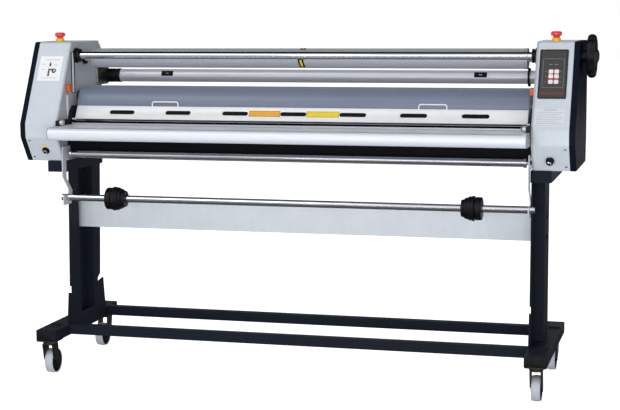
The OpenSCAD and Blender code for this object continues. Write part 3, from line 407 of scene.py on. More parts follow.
@dataclass(frozen=True)
class Board(Finish):
    """A green circuit board with copper lines under its mask."""

    def write(self, paint: Paint) -> bpy.types.Material:
        """Tracks from two sets of waves, broken up by noise."""
        across = (paint.along(1) * 1400).wave().over(0.72)
        up = (paint.along(2) * 1100).wave().over(0.8)
        broken = paint.noise(0.012).over(0.5)
        tracks = across.most(up) * broken
        body = paint.blend(tracks, self.colour, shade(self.colour, 1.9))
        rough = self.rough + paint.noise(0.01) * 0.1
        return paint.finish(Base_Color=body, Roughness=rough, Normal=paint.relief(tracks, 0.00005))


@dataclass(frozen=True)
class Lens(Finish):
    """Coloured clear plastic with a faint painted glow in its own colour; it is no lamp."""

    glow: float = 0.15

    def write(self, paint: Paint) -> bpy.types.Material:
        """Deeper colour in moulded flutes."""
        flute = (paint.along(2) * 2600).wave().ramp(-1, 1)
        haze = paint.noise(0.004, 3.0)
        body = paint.blend(flute * 0.4 + haze * 0.3, self.colour, shade(self.colour, 1.5))
        rough = self.rough + (haze - 0.5) * 0.1
        # painted glow: the lens shines faintly in its colour, brighter in the flutes, though it is no lamp
        paint.shader.inputs["Emission Strength"].default_value = self.glow
        return paint.finish(Base_Color=body, Roughness=rough, Emission_Color=body,
                            Normal=paint.relief(flute, 0.0001))


STAND_BLACK = PowderCoat("stand_black_coat", "stand_black", srgb(32, 37, 47), 0.42, shine=0.03)
TIE_GREY = PowderCoat("tie_panel_coat", "tie_grey", srgb(220, 227, 233), 0.42, dust=0.25)
COVER_LIGHT = PowderCoat("cover_light_coat", "cover_light", srgb(208, 216, 223), 0.45, depth=0.00003,
                         dust=0.2)
COVER_DARK = PowderCoat("cover_dark_coat", "cover_dark", srgb(19, 24, 35), 0.5, shine=0.03)
PLATE_GREY = PowderCoat("plate_grey_coat", "plate_grey", srgb(176, 181, 186), 0.42)
MOTOR_GREY = PowderCoat("gear_motor_paint", "plate_grey", srgb(96, 102, 112), 0.5, grain=0.002, depth=0.0001)
CROSSBEAM_BLACK = PowderCoat("crossbeam_paint", "black_metal", srgb(26, 27, 32), 0.42, shine=0.2)
APRON_BLACK = PowderCoat("apron_paint", "black_metal", srgb(18, 17, 21), 0.42, shine=0.04)
GUARD_WHITE = PowderCoat("guard_white_coat", "guard_white", srgb(248, 250, 252), 0.34, dust=0.2, coat=0.1)
TABLE_LIGHT = DrawnMetal("table_anodised", "table_light", srgb(234, 238, 246), 0.36, contrast=0.03,
                         metal=0.12, smears=0.1)
# also used for the darker painted shade lines on the table
RAIL_SILVER = DrawnMetal("rail_anodised", "satin_aluminium", srgb(186, 190, 198), 0.36, contrast=0.06,
                         metal=0.5)
SHAFT_SILVER = DrawnMetal("supply_tube_anodised", "satin_aluminium", srgb(184, 188, 195), 0.44, contrast=0.04,
                          depth=0.000002, metal=0.15, smears=0.1)
REAR_SILVER = DrawnMetal("rear_tube_anodised", "satin_aluminium", srgb(226, 227, 236), 0.38, contrast=0.04,
                         depth=0.000002, metal=0.35, smears=0.1)
ARM_GREY = PowderCoat("shaft_arm_paint", "arm_grey", srgb(196, 200, 206), 0.4)
TURNED = DrawnMetal("turned_steel", "turned_steel", srgb(176, 179, 184), 0.3, axis=1, contrast=0.12)
BRACKET_ZINC = Plating("bracket_zinc", "grey_zinc", srgb(176, 180, 186), 0.34, srgb(196, 196, 190))
CASTER_ZINC = Plating("caster_yellow_zinc", "caster_zinc", srgb(118, 110, 94), 0.3, srgb(74, 70, 62), 0.012)
SCREW_BLACK = Plating("screw_black_zinc", "black_zinc", srgb(52, 53, 57), 0.36, srgb(70, 70, 74))
CHROME = Plating("chrome_plate", "chrome", srgb(226, 227, 231), 0.07, srgb(216, 218, 224), 0.2)
SILICONE = Rubber("roller_silicone", "silicone", srgb(118, 127, 148), 0.36)
TYRE_GREY = Rubber("tyre_elastic", "tyre_grey", srgb(196, 199, 208), 0.5, band=0.002, sheen=0.1)
# black felt that also stands as painted shade for the dark gap under the guard's lower edge
FELT_AND_SHADE_BLACK = Rubber("rail_felt", "black_plastic", srgb(9, 9, 11), 0.8, sheen=0.0, shine=0.0)
# also used for the black strip behind the guard's slots, partly painted shade
PAD_BLACK = Rubber("grip_pad_rubber", "black_plastic", srgb(16, 16, 20), 0.6, sheen=0.02, shine=0.12)
BLACK_PLASTIC = Moulded("black_moulded", "black_plastic", srgb(16, 16, 20), 0.4, shine=0.2)
HUB_BLACK = Moulded("wheel_hub_moulded", "black_plastic", srgb(20, 20, 24), 0.42, shine=0.2)
CAP_GREY = Moulded("cap_grey_moulded", "cap_grey", srgb(150, 155, 163), 0.42)
STOP_RED = Moulded("stop_red_moulded", "stop_red", srgb(246, 38, 40), 0.22, depth=0.00001, coat=0.5)
STOP_YELLOW = Moulded("stop_yellow_moulded", "stop_yellow", srgb(246, 190, 30), 0.38)
# also used for the speed knob's white pointer, partly a painted glint, and the inlet's white ring, a painted glint
KEY_WHITE = Moulded("key_white_moulded", "key_white", srgb(238, 239, 242), 0.24, depth=0.00001, coat=0.4)
PANEL_FILM = PrintedFilm("panel_black_film", "panel_black", srgb(50, 51, 50), 0.32, srgb(62, 62, 58), 0.6)
PANEL_EDGE = PrintedFilm("panel_edge_film", "panel_black", srgb(16, 17, 19), 0.25, srgb(26, 27, 30), 0.6)
PANEL_LINE = PrintedFilm("panel_line_ink", "key_white", srgb(150, 154, 156), 0.3, srgb(120, 124, 126))
PANEL_RED = PrintedFilm("panel_red_ink", "stop_red", srgb(176, 34, 40), 0.3, srgb(130, 26, 32))
LABEL_WHITE = PrintedFilm("label_white_film", "key_white", srgb(246, 247, 249), 0.32, srgb(228, 230, 235))
LABEL_PALE = PrintedFilm("label_pale_film", "cover_light", srgb(222, 226, 231), 0.35, srgb(204, 209, 216),
                         0.5)
LABEL_GREY = PrintedFilm("label_grey_ink", "plate_grey", srgb(150, 156, 165), 0.35, srgb(180, 184, 190))
LABEL_ORANGE = PrintedFilm("label_orange_film", "sensor_amber", srgb(250, 178, 38), 0.32, srgb(236, 150, 30))
LABEL_YELLOW = PrintedFilm("label_yellow_film", "stop_yellow", srgb(250, 220, 40), 0.32, srgb(236, 196, 30))
# the sensor lenses carry a faint painted glow
AMBER = Lens("sensor_amber_lens", "sensor_amber", srgb(190, 84, 14), 0.2, 0.06)
BOARD_GREEN = Board("circuit_board", "board_green", srgb(24, 84, 48), 0.4)


def toward(origin: Vector, direction: Vector, across: Vector | None = None) -> Matrix:
    """A frame whose Z runs along a direction.

    Args:
        origin: its place.
        direction: where its Z points.
        across: where its X points, as nearly as it can.

    Returns:
        The matrix that lays local shapes there.
    """
    up = direction.normalized()
    side = across if across else (Vector((1, 0, 0)) if abs(up.x) < 0.9 else Vector((0, 1, 0)))
    side = (side - up * side.dot(up)).normalized()
    turned = Matrix((side, up.cross(side), up)).transposed()
    return Matrix.Translation(origin) @ turned.to_4x4()


def arc(centre: Point, radius: float, start: float, stop: float, steps: int = 6) -> list[Point]:
    """Points of an arc, with angles in degrees."""
    angles = [math.radians(start + (stop - start) * step / steps) for step in range(steps + 1)]
    return [(centre[0] + radius * math.cos(angle), centre[1] + radius * math.sin(angle)) for angle in angles]


def rounded_box(width: float, height: float, radius: float, steps: int = 6) -> list[Point]:
    """Outline of a rectangle with round corners, about its middle."""
    points: list[Point] = []
    x, y = width / 2 - radius, height / 2 - radius
    for turn, (sx, sy) in enumerate(((1, 1), (-1, 1), (-1, -1), (1, -1))):
        points += arc((sx * x, sy * y), radius, turn * 90, turn * 90 + 90, steps)
    return points


def slot_outline(length: float, width: float, steps: int = 8) -> list[Point]:
    """Outline of a slot with round ends, about its middle."""
    reach = (length - width) / 2
    return arc((reach, 0), width / 2, -90, 90, steps) + arc((-reach, 0), width / 2, 90, 270, steps)


def moved(points: Iterable[Point], x: float, y: float) -> list[Point]:
    """An outline moved in its plane."""
    return [(px + x, py + y) for px, py in points]


def turned_profile(corners: Sequence[tuple[float, float, float]], steps: int = 4) -> list[Point]:
    """A profile with its corners rounded.

    Args:
        corners: each corner's place along the axis, its radius from the axis, and its fillet.
        steps: segments of a fillet.

    Returns:
        The profile's points.
    """
    points: list[Point] = []
    for place, (along, out, fillet) in enumerate(corners):
        if fillet <= 0 or place in (0, len(corners) - 1):
            points.append((along, out))
            continue
        corner = Vector((along, out))
        before = (Vector(corners[place - 1][:2]) - corner).normalized()
        after = (Vector(corners[place + 1][:2]) - corner).normalized()
        for step in range(steps + 1):
            share = step / steps
            start, stop = corner + before * fillet, corner + after * fillet
            bent = start * (1 - share) ** 2 + corner * 2 * share * (1 - share) + stop * share ** 2
            points.append((bent.x, bent.y))
    return points


def stations(start: float, length: float, steps: int, radius: float) -> list[tuple[float, float, float]]:
    """Corners in even steps along a straight tube, so that its long faces stay well shaped."""
    return [(start + length * step / steps, radius, 0.0) for step in range(steps + 1)]


class Work:
    """A mesh being modelled with bmesh operators, in metres, where it stands."""

    def __init__(self) -> None:
        """Start an empty mesh."""
        self.bm = bmesh.new()

    def _lay(self, verts: Sequence[bmesh.types.BMVert], place: Matrix | None) -> None:
        """Move new vertices to their place."""
        if place is not None:
            bmesh.ops.transform(self.bm, matrix=place, verts=verts)

    def box(self, low: Sequence[float], high: Sequence[float], place: Matrix | None = None) -> "Work":
        """Add a box from its lowest to its highest corner."""
        made = bmesh.ops.create_cube(self.bm, size=1.0)["verts"]
        low, high = Vector(low), Vector(high)
        bmesh.ops.scale(self.bm, vec=high - low, verts=made)
        bmesh.ops.translate(self.bm, vec=(low + high) / 2, verts=made)
        self._lay(made, place)
        return self

    def turned(self, profile: Sequence[Point], place: Matrix, steps: int = 64) -> "Work":
        """Spin a profile about the Z of its frame.

        Args:
            profile: points along the axis and out from it.
            place: the frame.
            steps: segments round the axis.
        """
        verts = [self.bm.verts.new((out, 0, along)) for along, out in profile]
        edges = [self.bm.edges.new(pair) for pair in zip(verts, verts[1:])]
        known = set(self.bm.verts) - set(verts)
        bmesh.ops.spin(self.bm, geom=verts + edges, cent=(0, 0, 0), axis=(0, 0, 1),
                       angle=math.tau, steps=steps, use_merge=True)
        made = [vert for vert in self.bm.verts if vert not in known]
        bmesh.ops.remove_doubles(self.bm, verts=made, dist=1e-7)
        self._lay([vert for vert in self.bm.verts if vert not in known], place)
        return self

    def ring(self, profile: Sequence[Point], place: Matrix, steps: int = 64) -> "Work":
        """Spin a closed profile, such as a washer's or a tube's."""
        return self.turned([*profile, profile[0]], place, steps)

    def plate(self, outline: Sequence[Point], thick: float, place: Matrix,
              holes: Sequence[Sequence[Point]] = ()) -> "Work":
        """Add a flat plate, with holes, on the XY plane of its frame.

        Args:
            outline: its outer points.
            thick: how far it reaches along Z.
            place: the frame.
            holes: outlines of its holes.
        """
        edges = []
        verts = []
        for loop in (outline, *holes):
            corners = [self.bm.verts.new((x, y, 0)) for x, y in loop]
            verts += corners
            edges += [self.bm.edges.new((a, b)) for a, b in zip(corners, corners[1:] + corners[:1])]
        if holes:
            filled = bmesh.ops.triangle_fill(self.bm, use_beauty=True, edges=edges)["geom"]
            faces = [item for item in filled if isinstance(item, bmesh.types.BMFace)]
        else:
            faces = bmesh.ops.contextual_create(self.bm, geom=edges)["faces"]
        grown = bmesh.ops.extrude_face_region(self.bm, geom=faces)["geom"]
        top = [item for item in grown if isinstance(item, bmesh.types.BMVert)]
        bmesh.ops.translate(self.bm, vec=(0, 0, thick), verts=top)
        self._lay(verts + top, place)
        return self

    def wire(self, path: Sequence[Vector], radius: float, sides: int = 12) -> "Work":
        """Add a round wire with flat ends along a path."""
        rings = []
        for place, point in enumerate(path):
            before = path[max(place - 1, 0)]
            after = path[min(place + 1, len(path) - 1)]
            lay = toward(point, after - before, Vector((0, 1, 0.01)))
            rings.append(bmesh.ops.create_circle(self.bm, segments=sides, radius=radius,
                                                 cap_ends=place in (0, len(path) - 1), matrix=lay)["verts"])
        for first, second in zip(rings, rings[1:]):
            edges = [edge for edge in self.bm.edges
                     if any(all(vert in loop for vert in edge.verts) for loop in (first, second))]
            bmesh.ops.bridge_loops(self.bm, edges=edges)
        return self

    def soften(self, width: float, segments: int = 2, sharper: float = 35) -> "Work":
        """Bevel every edge that is sharper than an angle in degrees."""
        edges = [edge for edge in self.bm.edges
                 if len(edge.link_faces) == 2 and edge.calc_face_angle(0) > math.radians(sharper)]
        bmesh.ops.bevel(self.bm, geom=edges, offset=width, segments=segments, profile=0.5,
                        affect="EDGES", clamp_overlap=True, material=-1)
        return self

    def piece(self, name: str, finish: Finish, body: str, stands_for: Sequence[str] = (),
              smooth: float = 40) -> bpy.types.Object:
        """Finish the mesh as a piece of the machine.

        Args:
            name: the piece's name.
            finish: its finish.
            body: the body that it rides on.
            stands_for: CAD nodes that it is shown for.
            smooth: edges up to this angle in degrees are shaded smooth.

        Returns:
            The piece.
        """
        bmesh.ops.recalc_face_normals(self.bm, faces=self.bm.faces)
        mesh = bpy.data.meshes.new(name)
        self.bm.to_mesh(mesh)
        self.bm.free()
        mesh.shade_smooth()
        mesh.set_sharp_from_angle(angle=math.radians(smooth))
        mesh.materials.append(finish.material())
        made = bpy.data.objects.new(name, mesh)
        bpy.context.scene.collection.objects.link(made)
        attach(made, body)
        if stands_for:
            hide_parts(*stands_for)
        LOG.info("made %s: %d faces", name, len(mesh.polygons))
        return made


def body_of(node: str) -> str:
    """The name of the body that holds a CAD node."""
    groups = frame["record"]["behaviour"]["bodies"]
    return next(body for body, members in groups.items() if node in members)


def dress(node: str, finish: Finish) -> None:
    """Give a CAD node its finish and leave its shape as it is."""
    mesh = frame["nodes"][node].data
    mesh.materials.clear()
    mesh.materials.append(finish.material())
    LOG.info("dressed %s", node)


def eased(node: str, finish: Finish, edge: float = 0.9 * MM, sharper: float = 32) -> bpy.types.Object:
    """Show a CAD node with its edges rounded a little, as bent and sanded metal has them.

    Args:
        node: the CAD node.
        finish: its finish.
        edge: width of the rounding.
        sharper: only edges over this angle in degrees are rounded.

    Returns:
        The piece that stands for the node.
    """
    work = Work()
    work.bm.from_mesh(frame["nodes"][node].data)
    bmesh.ops.remove_doubles(work.bm, verts=work.bm.verts, dist=2e-6)
    bmesh.ops.dissolve_limit(work.bm, angle_limit=math.radians(0.5), verts=work.bm.verts,
                             edges=work.bm.edges, delimit={"NORMAL"})
    made = work.piece(f"{node}_finished", finish, body_of(node), [node], sharper)
    bevel = made.modifiers.new("eased edges", "BEVEL")
    bevel.limit_method = "ANGLE"
    bevel.angle_limit = math.radians(sharper)
    bevel.width = edge
    bevel.segments = 2
    bevel.use_clamp_overlap = False
    bevel.miter_outer = "MITER_ARC"
    weighted = made.modifiers.new("flat faces stay flat", "WEIGHTED_NORMAL")
    weighted.keep_sharp = True
    return made


def joint_place(name: str) -> Vector:
    """Where a hinge's axis passes, from the record."""
    return Vector(next(joint for joint in frame["joints"] if joint["name"] == name)["pos_m"])


class Side(enum.Enum):
    """A side of the machine, as its operator sees it."""

    LEFT = -1
    RIGHT = 1

    @property
    def word(self) -> str:
        """The side's name in a piece's name."""
        return self.name.lower()


FEET_LOW, FEET_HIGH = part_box("feet")
MIDDLE_X = (FEET_LOW.x + FEET_HIGH.x) / 2
ALONG = Vector((1, 0, 0))
UP = Vector((0, 0, 1))
FRONT = Vector((0, -1, 0))


@dataclass
class Stand:
    """Feet, legs, stretchers, tie panel and their bolts."""

    weld: float = 3.5 * MM
    cap_in: float = 1.5 * MM

    def build(self) -> None:
        """Make the stand's pieces."""
        eased("feet", STAND_BLACK, 1.6 * MM)
        eased("legs", STAND_BLACK, 1.2 * MM)
        eased("stretchers", STAND_BLACK, 1.4 * MM)
        dress("tie_panel", TIE_GREY)
        eased("fasteners", SCREW_BLACK, 0.6 * MM)
        for side in Side:
            self.weld_bead(side)
            self.front_cap(side)

    def weld_bead(self, side: Side) -> None:
        """Run a fillet weld round the foot of a leg."""
        low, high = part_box("legs")
        span = 40 * MM
        inner, outer = (high.x - span, high.x) if side is Side.RIGHT else (low.x, low.x + span)
        work = Work()
        z = FEET_HIGH.z
        for y in (low.y, high.y):
            place = toward(Vector((inner, y, z)), ALONG)
            work.turned([(0, 0), (0, self.weld), (outer - inner, self.weld), (outer - inner, 0)], place, 12)
        work.piece(f"{side.word}_leg_weld", STAND_BLACK, "frame")

    def front_cap(self, side: Side) -> None:
        """Close a foot's front end with a plastic cap."""
        x = FEET_HIGH.x - 38 * MM if side is Side.RIGHT else FEET_LOW.x + 38 * MM
        z = (FEET_LOW.z + FEET_HIGH.z) / 2
        place = toward(Vector((x, FEET_LOW.y, z)), FRONT, ALONG)
        outline = rounded_box(71 * MM, 35 * MM, 4 * MM)
        work = Work().plate(outline, self.cap_in, place).soften(0.6 * MM)
        work.piece(f"{side.word}_foot_cap", HUB_BLACK, "frame")


@dataclass
class Caster:
    """One swivel caster: its fork, tyre, hub, thread guards and ball race."""

    end: str
    side: Side
    tyre_w: float = 30 * MM
    tread_crown: float = 1.6 * MM
    rim_r: float = 40 * MM
    cover_r: float = 33 * MM
    race_r: float = 21 * MM
    race_down: float = 17 * MM
    spokes: int = 6

    @property
    def name(self) -> str:
        """Where it stands, such as front_left."""
        return f"{self.end}_{self.side.word}"

    def build(self) -> None:
        """Make the fork, the wheel and what holds them."""
        eased(f"{self.name}_fork", CASTER_ZINC, 0.7 * MM)
        low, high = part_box(f"{self.name}_wheel")
        centre = (low + high) / 2
        lay = toward(centre, ALONG)
        self.tyre(lay, (high.z - low.z) / 2)
        self.hub(lay)
        self.thread_guards(lay)
        self.race()

    def tyre(self, lay: Matrix, radius: float) -> None:
        """Turn the elastic tyre with its crowned tread and moulding line."""
        half = self.tyre_w / 2
        wall = radius - 4 * MM
        tread = [(-half + 5 * MM + (self.tyre_w - 10 * MM) * step / 8,
                  radius - self.tread_crown * (step / 4 - 1) ** 2) for step in range(9)]
        corners = [(-half + 1 * MM, self.rim_r, 0), (-half, self.rim_r + 2 * MM, 1 * MM),
                   (-half, wall, 3 * MM)]
        profile = turned_profile([*corners, (-half + 4 * MM, radius - self.tread_crown, 0)])
        mirrored = [(-along, out) for along, out in reversed(profile)]
        line = [(-0.4 * MM, radius), (0, radius), (0.4 * MM, radius)]
        outline = [*profile, *tread[:4], *line, *tread[5:], *mirrored]
        Work().ring(outline, lay, 96).piece(f"{self.name}_tyre", TYRE_GREY, f"{self.name}_wheel",
                                            [f"{self.name}_wheel"], 50)

    def hub(self, lay: Matrix) -> None:
        """Turn the moulded hub with a dished face and ribs."""
        half = self.tyre_w / 2 - 1 * MM
        rim, dish = self.rim_r, 6 * MM
        face = [(half, 5 * MM, 0), (half, 10 * MM, 1 * MM), (half - dish, 12 * MM, 1 * MM),
                (half - dish, rim - 5 * MM, 1 * MM), (half - 1 * MM, rim - 3 * MM, 1 * MM),
                (half - 1 * MM, rim, 0)]
        profile = turned_profile(face)
        other = [(-along, out) for along, out in reversed(profile)]
        work = Work().ring([*profile, *other], lay, 64)
        for spoke in range(self.spokes):
            turn = Matrix.Rotation(math.tau * spoke / self.spokes, 4, "Z")
            work.box((11 * MM, -1.5 * MM, -half + 1.5 * MM), (rim - 4 * MM, 1.5 * MM, half - 1.5 * MM),
                     lay @ turn)
        work.piece(f"{self.name}_hub", HUB_BLACK, f"{self.name}_wheel")

    def thread_guards(self, lay: Matrix) -> None:
        """Set a dark dished guard on each side of the hub."""
        for way in (-1, 1):
            start = self.tyre_w / 2 * way
            rise = 1.6 * MM * way
            corners = [(start, 5 * MM, 0), (start + rise, 5 * MM, 0.5 * MM), (start + rise, 14 * MM, 1 * MM),
                       (start + rise * 0.3, self.cover_r, 0), (start - rise * 0.2, self.cover_r, 0)]
            work = Work().ring(turned_profile(corners), lay, 48)
            side = "inner" if way < 0 else "outer"
            work.piece(f"{self.name}_{side}_guard", BLACK_PLASTIC, f"{self.name}_wheel")

    def race(self) -> None:
        """Ring the swivel with its pressed ball race."""
        low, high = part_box(f"{self.name}_fork")
        pivot = joint_place(f"{self.name}_swivel")
        lay = toward(Vector((pivot.x, pivot.y, high.z - self.race_down)), UP)
        inner = self.race_r - 4 * MM
        corners = [(0, inner, 0), (0, self.race_r, 1.5 * MM), (6 * MM, self.race_r + 4 * MM, 2 * MM),
                   (9 * MM, self.race_r + 2 * MM, 1 * MM), (9 * MM, inner, 0)]
        Work().ring(turned_profile(corners), lay, 48).piece(f"{self.name}_race", CASTER_ZINC,
                                                          f"{self.name}_fork")


class Slope:
    """A sloping face of the housings, for what is stuck or fixed on it."""

    def __init__(self, edge: Vector, down: Vector) -> None:
        """Keep the face's upper edge and its way down.

        Args:
            edge: a point on its upper edge, in the middle of the machine.
            down: the direction down the face.
        """
        self.edge = edge
        self.down = down.normalized()
        self.out = self.down.cross(ALONG)

    def at(self, x: float, down: float, lift: float = 0.0) -> Matrix:
        """A frame on the face whose X runs along the machine and whose Z points out.

        Args:
            x: place along the machine from its middle.
            down: distance down the face.
            lift: height over the face.
        """
        origin = self.edge + self.down * down + self.out * lift
        return toward(Vector((MIDDLE_X + x, origin.y, origin.z)), self.out, ALONG)


COVER_LOW, COVER_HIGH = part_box("right_front_cover")
TOWER_TOP = COVER_HIGH.z
TOP_FRONT_Y = 10 * MM - 65 * MM
NOSE_Y = COVER_LOW.y
NOSE_TOP_Z = COVER_LOW.z + 138 * MM
NOSE_LOW_Z = COVER_LOW.z + 88 * MM
BASE_FRONT_Y = 10 * MM - 155 * MM
UPPER_SLOPE = Slope(Vector((0, TOP_FRONT_Y, TOWER_TOP)),
                    Vector((0, NOSE_Y - TOP_FRONT_Y, NOSE_TOP_Z - TOWER_TOP)))
LOWER_SLOPE = Slope(Vector((0, NOSE_Y, NOSE_LOW_Z)),
                    Vector((0, BASE_FRONT_Y - NOSE_Y, COVER_LOW.z - NOSE_LOW_Z)))


def sticker(name: str, finish: Finish, place: Matrix, width: float, height: float, body: str,
            radius: float = 2 * MM, thick: float = CARD_FILM) -> bpy.types.Object:
    """Stick a thin label with round corners on a face.

    Args:
        name: the piece's name.
        finish: its film.
        place: frame at its middle, with Z out.
        width: along the frame's X.
        height: along the frame's Y.
        body: the body that it rides on.
        radius: of its corners.
        thick: of its film.

    Returns:
        The label.
    """
    outline = rounded_box(width, height, radius)
    return Work().plate(outline, thick, place).piece(name, finish, body)


@dataclass
class Housing:
    """One tower: its stop, cover lip, cover screws, guide strips and shaft flange."""

    side: Side
    plate_x: float = 840 * MM
    cover_x: float = 964 * MM
    screw_r: float = 4.2 * MM
    screw_h: float = 1.8 * MM
    seam: float = 1.2 * MM

    def build(self) -> None:
        """Make this side's pieces."""
        self.stop()
        self.seam_line()
        self.nose_screws()
        self.plate_strips()
        self.shaft_flange()

    @staticmethod
    def build_shared() -> None:
        """Make the pieces that both towers share as one node."""
        eased("side_plates", PLATE_GREY, 0.8 * MM)
        eased("left_front_cover", COVER_LIGHT, 1.8 * MM)
        eased("right_front_cover", COVER_LIGHT, 1.8 * MM)
        eased("outer_covers", COVER_DARK, 1.8 * MM)
        eased("rear_crossbeam", CROSSBEAM_BLACK, 1 * MM)
        eased("lower_apron", APRON_BLACK, 1 * MM)
        dress("shaft_bearings", BLACK_PLASTIC)
        eased("front_brackets", CROSSBEAM_BLACK, 0.7 * MM)
        # the amber sensor lenses carry a faint painted glow
        eased("photo_sensors", AMBER, 1.2 * MM)
        low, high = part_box("photo_sensors")
        for side in Side:
            face = low.x if side is Side.LEFT else high.x
            near, far = sorted((face, face - side.value * 15 * MM))
            lens = Work().box((near, low.y - 1 * MM, low.z - 0.5 * MM),
                              (far, high.y + 1 * MM, high.z + 0.5 * MM))
            lens.soften(2 * MM, 3).piece(f"{side.word}_sensor_lens", AMBER, "frame")
        dress("gear_motor", MOTOR_GREY)
        dress("control_board", BOARD_GREEN)

    def stop(self) -> None:
        """Turn the emergency stop's red mushroom and its yellow collar."""
        low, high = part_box(f"{self.side.word}_estop")
        collar_low, collar_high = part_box("estop_collars")
        x, y = (low.x + high.x) / 2, (low.y + high.y) / 2
        base, top = collar_high.z, high.z
        collar_r = (collar_high.y - collar_low.y) / 2
        mouth_r = collar_r * 0.86 - 1.4 * MM
        skirt_r = mouth_r - 0.6 * MM
        cap_r = (high.y - low.y) / 2
        lay = toward(Vector((x, y, TOWER_TOP)), UP)
        rise, skirt = top - TOWER_TOP, base - TOWER_TOP
        cap = turned_profile([(skirt + 0.4 * MM, 5 * MM, 0), (skirt + 0.4 * MM, skirt_r, 0.3 * MM),
                              (skirt + 4.9 * MM, skirt_r, 0.5 * MM), (skirt + 7 * MM, cap_r * 0.84, 2 * MM),
                              (skirt + 10 * MM, cap_r, 1.5 * MM),
                              (rise - 5 * MM, cap_r, 3 * MM), (rise - 1 * MM, cap_r * 0.86, 2 * MM),
                              (rise, cap_r * 0.5, 2 * MM), (rise - 0.4 * MM, 0, 0)], 5)
        Work().turned([(-3.5 * MM, 0), (-3.5 * MM, 5 * MM), *cap], lay, 72).piece(
            f"{self.side.word}_stop_mushroom", STOP_RED, f"{self.side.word}_stop",
            [f"{self.side.word}_estop"], 50)
        ring = turned_profile([(0, mouth_r, 0), (0, collar_r, 0.5 * MM), (2 * MM, collar_r, 1 * MM),
                               (skirt - 2 * MM, collar_r * 0.93, 1.5 * MM), (skirt, collar_r * 0.86, 1 * MM),
                               (skirt, mouth_r, 0)])
        stands = ["estop_collars"] if self.side is Side.LEFT else []
        Work().ring(ring, lay, 72).piece(f"{self.side.word}_stop_collar", STOP_YELLOW, "frame", stands, 50)

    def seam_line(self) -> None:
        """Lay the fine lip where the cover's upper part laps over its nose."""
        inner, outer = self.plate_x + 8 * MM, self.cover_x - 4 * MM
        middle = (inner + outer) / 2 * self.side.value
        down = (Vector((0, NOSE_Y, NOSE_TOP_Z)) - UPPER_SLOPE.edge).length - 24 * MM
        place = UPPER_SLOPE.at(middle, down)
        outline = rounded_box(outer - inner, self.seam, 0.4 * MM)
        Work().plate(outline, 0.4 * MM, place).piece(f"{self.side.word}_cover_lip", COVER_LIGHT, "frame")

    def plate_strips(self) -> None:
        """Screw the lift's light guide strips and their dark wipers on the inner face of the side plate."""
        face = MIDDLE_X + self.side.value * self.plate_x
        inner = face - self.side.value * 2 * MM
        low, high = min(face, inner), max(face, inner)
        light, dark = Work(), Work()
        for work, front, back, bottom, top in (
                (light, -61, -46, 1005, 1146), (light, -113, -101, 903, 997),
                (dark, -68, -62, 1000, 1150), (dark, -45, -38, 1000, 1150)):
            work.box((low, front * MM, bottom * MM), (high, back * MM, top * MM))
        light.soften(0.5 * MM).piece(f"{self.side.word}_guide_strips", GUARD_WHITE, "frame")
        dark.soften(0.4 * MM).piece(f"{self.side.word}_guide_wipers", SCREW_BLACK, "frame")

    def shaft_flange(self) -> None:
        """Ring the cross shaft with a black flanged bush in the side plate."""
        axis = joint_place("handwheel_turn")
        face = MIDDLE_X + self.side.value * self.plate_x
        lay = toward(Vector((face, axis.y, axis.z)), ALONG * -self.side.value, UP)
        corners = [(0, 14.5 * MM, 0), (0, 19 * MM, 1 * MM), (11 * MM, 17.5 * MM, 1 * MM),
                   (12 * MM, 24 * MM, 0.5 * MM), (19 * MM, 24 * MM, 1 * MM), (20 * MM, 14.5 * MM, 0)]
        Work().ring(turned_profile(corners), lay, 64).piece(
            f"{self.side.word}_shaft_flange", BLACK_PLASTIC, "frame")

    def nose_screws(self) -> None:
        """Fasten the cover with small screws along the outer edge of its lower slope."""
        x = (self.cover_x - 12 * MM) * self.side.value
        for number, down in enumerate((14 * MM, 86 * MM), 1):
            place = LOWER_SLOPE.at(x, down)
            screw(f"{self.side.word}_cover_screw_{number}", place, self.screw_r, self.screw_h, "frame",
                  BRACKET_ZINC)


def screw(name: str, place: Matrix, radius: float, height: float, body: str,
          finish: Finish) -> bpy.types.Object:
    """Set a domed screw with a hexagonal socket.

    Args:
        name: the piece's name.
        place: frame on the surface, with Z out.
        radius: of its head.
        height: of its head.
        body: the body that it rides on.
        finish: its plating.

    Returns:
        The screw's head.
    """
    socket = radius * 0.5
    work = Work()
    profile = turned_profile([(0, radius, 0), (height * 0.5, radius, height * 0.3),
                              (height, radius * 0.72, height * 0.2), (height, socket, 0),
                              (height * 0.3, socket, 0), (height * 0.3, 0, 0)], 3)
    work.turned([(0, 0), *profile], place, 24)
    return work.piece(name, finish, body, smooth=35)


